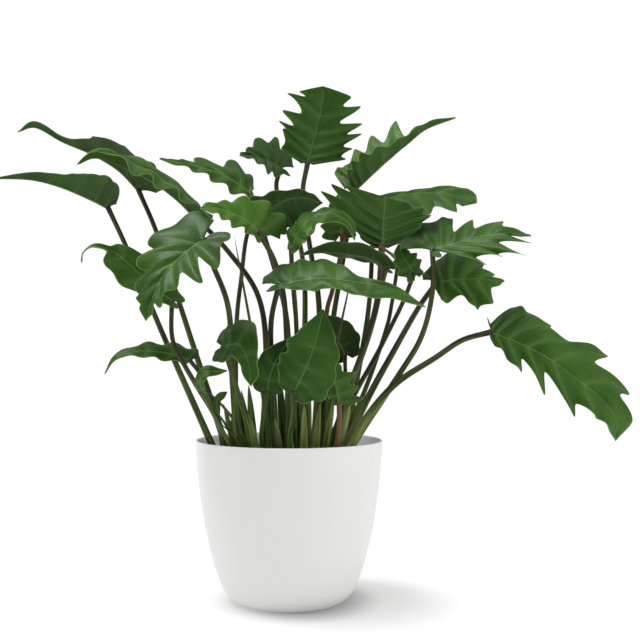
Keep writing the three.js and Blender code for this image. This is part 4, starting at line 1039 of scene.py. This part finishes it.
def leaf_material():
    """Waxy leaf: dark green, lighter along its veins, with a thin pale margin and a dull underside."""
    material, nodes = new_material("leaf_surface")
    mix, remap, attribute, noise = nodes.mix, nodes.remap, nodes.attribute, nodes.noise
    fresh = attribute("fresh")
    upper = attribute("upper")
    along = attribute("along")
    fine = noise(330, 4)
    mottle = nodes.sum_of(fine, 0.35, nodes.sum_of(attribute("own"), 0.25, noise(28, 3)))
    spread = remap(mottle, 0.45, 1.05, 0, 1)
    old_green = mix(spread, (0.01, 0.036, 0.003), (0.026, 0.082, 0.008))
    young_green = mix(spread, (0.036, 0.115, 0.009), (0.075, 0.19, 0.018))
    plain_green = mix(fresh, old_green, young_green)
    # Painted shade: the upper side is painted darker toward the blade's base, and the underside, mixed from
    # it, too.
    shade = remap(along, 0.0, 0.45, 0.42, 0)
    top_green = mix(shade, plain_green, (0.008, 0.026, 0.004))
    vein_green = mix(fresh, (0.075, 0.155, 0.04), (0.19, 0.31, 0.08))
    vein = remap(attribute("vein"), 0.15, 1.4, 0.58, 0)
    beside_vein = remap(attribute("vein"), 0.5, 6.0, 0.22, 0)
    rib = remap(attribute("rib"), 0.3, 1.3, 0.85, 0)
    lines = nodes.maths("MAXIMUM", vein, rib)
    flushed = mix(beside_vein, top_green, vein_green)
    veined = mix(lines, flushed, vein_green)
    dull_green = mix(0.45, top_green, (0.042, 0.078, 0.024))
    near_base = remap(along, 0.0, 0.35, 0.9, 0)
    under_vein = mix(near_base, (0.095, 0.15, 0.05), (0.1, 0.05, 0.03))
    under = mix(lines, dull_green, under_vein)
    face = mix(upper, under, veined)
    margin = remap(attribute("rim"), 0.25, 1.0, 0.6, 0)
    rimmed = mix(margin, face, (0.2, 0.3, 0.085))
    dullness = nodes.sum_of(upper, -0.12, 0.46)
    height = nodes.sum_of(noise(700, 2), 0.5, fine)
    crinkle = nodes.bump(noise(60, 3), 0.35, 0.003)
    nodes.surface(
        Base_Color=rimmed, Roughness=nodes.sum_of(fine, 0.16, dullness),
        Normal=nodes.bump(height, 0.22, 0.0006, Normal=crinkle), Specular_IOR_Level=0.13,
        Subsurface_Weight=0.22, Subsurface_Radius=(0.0009, 0.0016, 0.0004), Subsurface_Scale=1.0,
    )
    return material


def stalk_material():
    """Stalk skin: green at the foot, olive-brown above, with fine streaks along it."""
    material, nodes = new_material("stalk_surface")
    mix, remap, attribute, sum_of = nodes.mix, nodes.remap, nodes.attribute, nodes.sum_of
    own = attribute("own")
    share = nodes.maths("DIVIDE", attribute("along"), attribute("green"))
    sideways = sum_of(attribute("ring_x"), STREAK_RADIUS, own)
    forward = nodes.maths("MULTIPLY", attribute("ring_y"), STREAK_RADIUS)
    upward = nodes.maths("MULTIPLY", attribute("reach"), STREAK_STRETCH)
    on_skin = nodes.first("ShaderNodeCombineXYZ", {0: sideways, 1: forward, 2: upward})
    streak = nodes.noise(420, 3, vector=on_skin)
    level = sum_of(nodes.noise(45, 3), 0.9, sum_of(streak, 0.6, share))
    level = sum_of(own, 0.5, level)
    strong = remap(streak, 0.3, 0.72, 0, 1)
    greens = mix(strong, (0.01, 0.028, 0.003), (0.11, 0.19, 0.03))
    browns = mix(strong, (0.013, 0.014, 0.006), (0.078, 0.084, 0.03))
    plain = mix(remap(level, 1.2, 2.5, 0, 1), greens, browns)
    sallow = mix(strong, (0.13, 0.19, 0.04), (0.36, 0.4, 0.15))
    pallid = mix(attribute("pale"), plain, sallow)
    skin = mix(attribute("ruddy"), pallid, (0.15, 0.068, 0.034))
    ribs = nodes.bump(streak, 0.3, 0.0005)
    nodes.surface(Base_Color=skin, Roughness=0.45, Normal=ribs, Specular_IOR_Level=0.18)
    return material


def pot_material():
    """Satin white plastic with a faint moulded texture."""
    material, nodes = new_material("white_plastic")
    base = nodes.mix(nodes.noise(9, 2), (0.87, 0.87, 0.86), (0.9, 0.9, 0.895))
    grain = nodes.bump(nodes.noise(1500, 2), 0.05, 0.0003)
    nodes.surface(
        Base_Color=base, Roughness=nodes.sum_of(nodes.noise(60, 3), 0.1, 0.34), Normal=grain,
        Subsurface_Weight=0.6, Subsurface_Radius=(0.006, 0.006, 0.006), Subsurface_Scale=1.0,
    )
    return material


def liner_material():
    """Dull dark plastic of the inner pot."""
    material, nodes = new_material("dark_plastic")
    base = nodes.mix(nodes.noise(40, 3), (0.014, 0.013, 0.012), (0.03, 0.027, 0.024))
    grain = nodes.bump(nodes.noise(600, 3), 0.2, 0.0004)
    nodes.surface(Base_Color=base, Roughness=0.62, Normal=grain)
    return material


def soil_material():
    """Moist peat, dark with lighter fibres."""
    material, nodes = new_material("peat")
    coarse = nodes.noise(160, 5, 0.65)
    fine = nodes.noise(900, 4, 0.7)
    lumps = nodes.remap(coarse, 0.3, 0.7, 0, 1)
    dark = nodes.mix(lumps, (0.012, 0.007, 0.004), (0.05, 0.029, 0.016))
    fibres = nodes.remap(fine, 0.56, 0.72, 0, 1)
    base = nodes.mix(fibres, dark, (0.12, 0.078, 0.045))
    relief = nodes.bump(nodes.maths("ADD", coarse, fine), 0.8, 0.002)
    nodes.surface(Base_Color=base, Roughness=0.93, Normal=relief)
    return material


# ---- stage

def floor():
    """A wide pale floor, which is not part of the object, with a painted contact shadow around the pot."""
    mesh = bpy.data.meshes.new("floor")
    reach = 14.0
    corners = [(-reach, -reach, 0), (reach, -reach, 0), (reach, reach, 0), (-reach, reach, 0)]
    mesh.from_pydata(corners, [], [[0, 1, 2, 3]])
    material, nodes = new_material("pale_floor")

    def distance_from(*centre):
        inputs = {0: nodes.place(), 1: centre}
        return nodes.add("ShaderNodeVectorMath", inputs, operation="DISTANCE").outputs["Value"]

    # Painted shadow: the floor's glow rises away from a point right of the pot, and near the pot its colour
    # is painted grey.
    far = nodes.remap(distance_from(SHADOW_SHIFT, 0, 0), FLOOR_NEAR, FLOOR_FAR, 0, 1)
    painted_contact_shadow = nodes.remap(distance_from(0, 0, 0), CONTACT_SHADOW_NEAR, CONTACT_SHADOW_FAR, 1, 0)
    shade = nodes.mix(painted_contact_shadow, (0.92, 0.92, 0.92), (0.45, 0.45, 0.45))
    glow = nodes.first("ShaderNodeMix", {0: far, 2: FLOOR_GLOW, 3: BACKDROP_GLOW})
    nodes.surface(
        Base_Color=nodes.mix(far, shade, (0, 0, 0)), Roughness=0.9, Specular_IOR_Level=0.0,
        Emission_Color=(1, 1, 1), Emission_Strength=glow,
    )
    mesh.materials.append(material)
    put("floor", mesh)


def softbox(name, place_m, aim_m, size, power):
    data = bpy.data.lights.new(name, "AREA")
    data.shape = "RECTANGLE"
    data.size, data.size_y = size
    data.energy = power
    lamp = put(name, data)
    lamp.location = place_m
    way = Vector(aim_m) - Vector(place_m)
    lamp.rotation_euler = way.to_track_quat("-Z", "Y").to_euler()


def lighting():
    """A white surround that lights from above, a high softbox on the left and one at each side."""
    world = bpy.data.worlds.new("white_surround")
    scene.world = world
    world.use_nodes = True
    nodes = Nodes(world.node_tree)
    way = nodes.add("ShaderNodeTexCoord").outputs["Generated"]
    height = nodes.add("ShaderNodeSeparateXYZ", {0: way}).outputs[2]
    glow = nodes.remap(height, -0.1, 0.9, HORIZON_GLOW, ZENITH_GLOW)
    seen = nodes.add("ShaderNodeLightPath").outputs["Is Camera Ray"]
    strength = nodes.first("ShaderNodeMix", {0: seen, 2: glow, 3: BACKDROP_GLOW})
    surround = world.node_tree.nodes["Background"]
    nodes.fill(surround.inputs["Strength"], strength)
    nodes.fill(surround.inputs["Color"], (1, 1, 1))
    softbox("key", (-0.95, 0.05, 2.2), (0, 0, 0.1), (0.9, 0.9), KEY_POWER)
    for name, x, power in (("left_side", -1.65, LEFT_POWER), ("right_side", 1.65, RIGHT_POWER)):
        softbox(name, (x, -0.9, 0.75), (0, 0, 0.2), (0.9, 1.5), power)
    scene.view_settings.view_transform = "Standard"
    scene.view_settings.look = "None"


def camera():
    data = bpy.data.cameras.new("camera")
    data.sensor_width = SENSOR_WIDTH
    data.lens = SENSOR_WIDTH * FOCAL_PIXELS / PHOTO_PIXELS
    data.shift_x = (0.5 * PHOTO_PIXELS - AXIS_PIXEL_X) / PHOTO_PIXELS
    data.shift_y = (AXIS_PIXEL_Y - 0.5 * PHOTO_PIXELS) / PHOTO_PIXELS
    data.clip_start = 0.05
    data.clip_end = 60
    eye = put("camera", data)
    eye.location = (0, -CAMERA_DISTANCE, CAMERA_HEIGHT)
    eye.rotation_euler = (math.radians(90), 0, 0)
    scene.camera = eye


# ---- the plant

camera()
lighting()
floor()

cover_pot(pot_material())
growers_pot(liner_material())
peat = soil_material()
soil(peat)
soil_crumbs(peat)

leaf_skin = leaf_material()
stalk_skin = stalk_material()
for key, leaf in LEAVES.items():
    blade(key, leaf, leaf_skin, ["leaf_" + key if leaf["whole"] else "blade_" + key])
    stalk(key, leaf, stalk_skin, ["leaf_" + key if leaf["whole"] else "petiole_" + key])
for number, (stops, half_width, green, pale) in enumerate(SHEATHS, 1):
    spike(f"sheath_{number:02d}", stops, half_width, SHEATH_FLATNESS, green, pale, stalk_skin)
for number, (stops, radius, green) in enumerate(THREADS, 1):
    spike(f"thread_{number:02d}", stops, radius, 1.0, green, 0.1, stalk_skin)
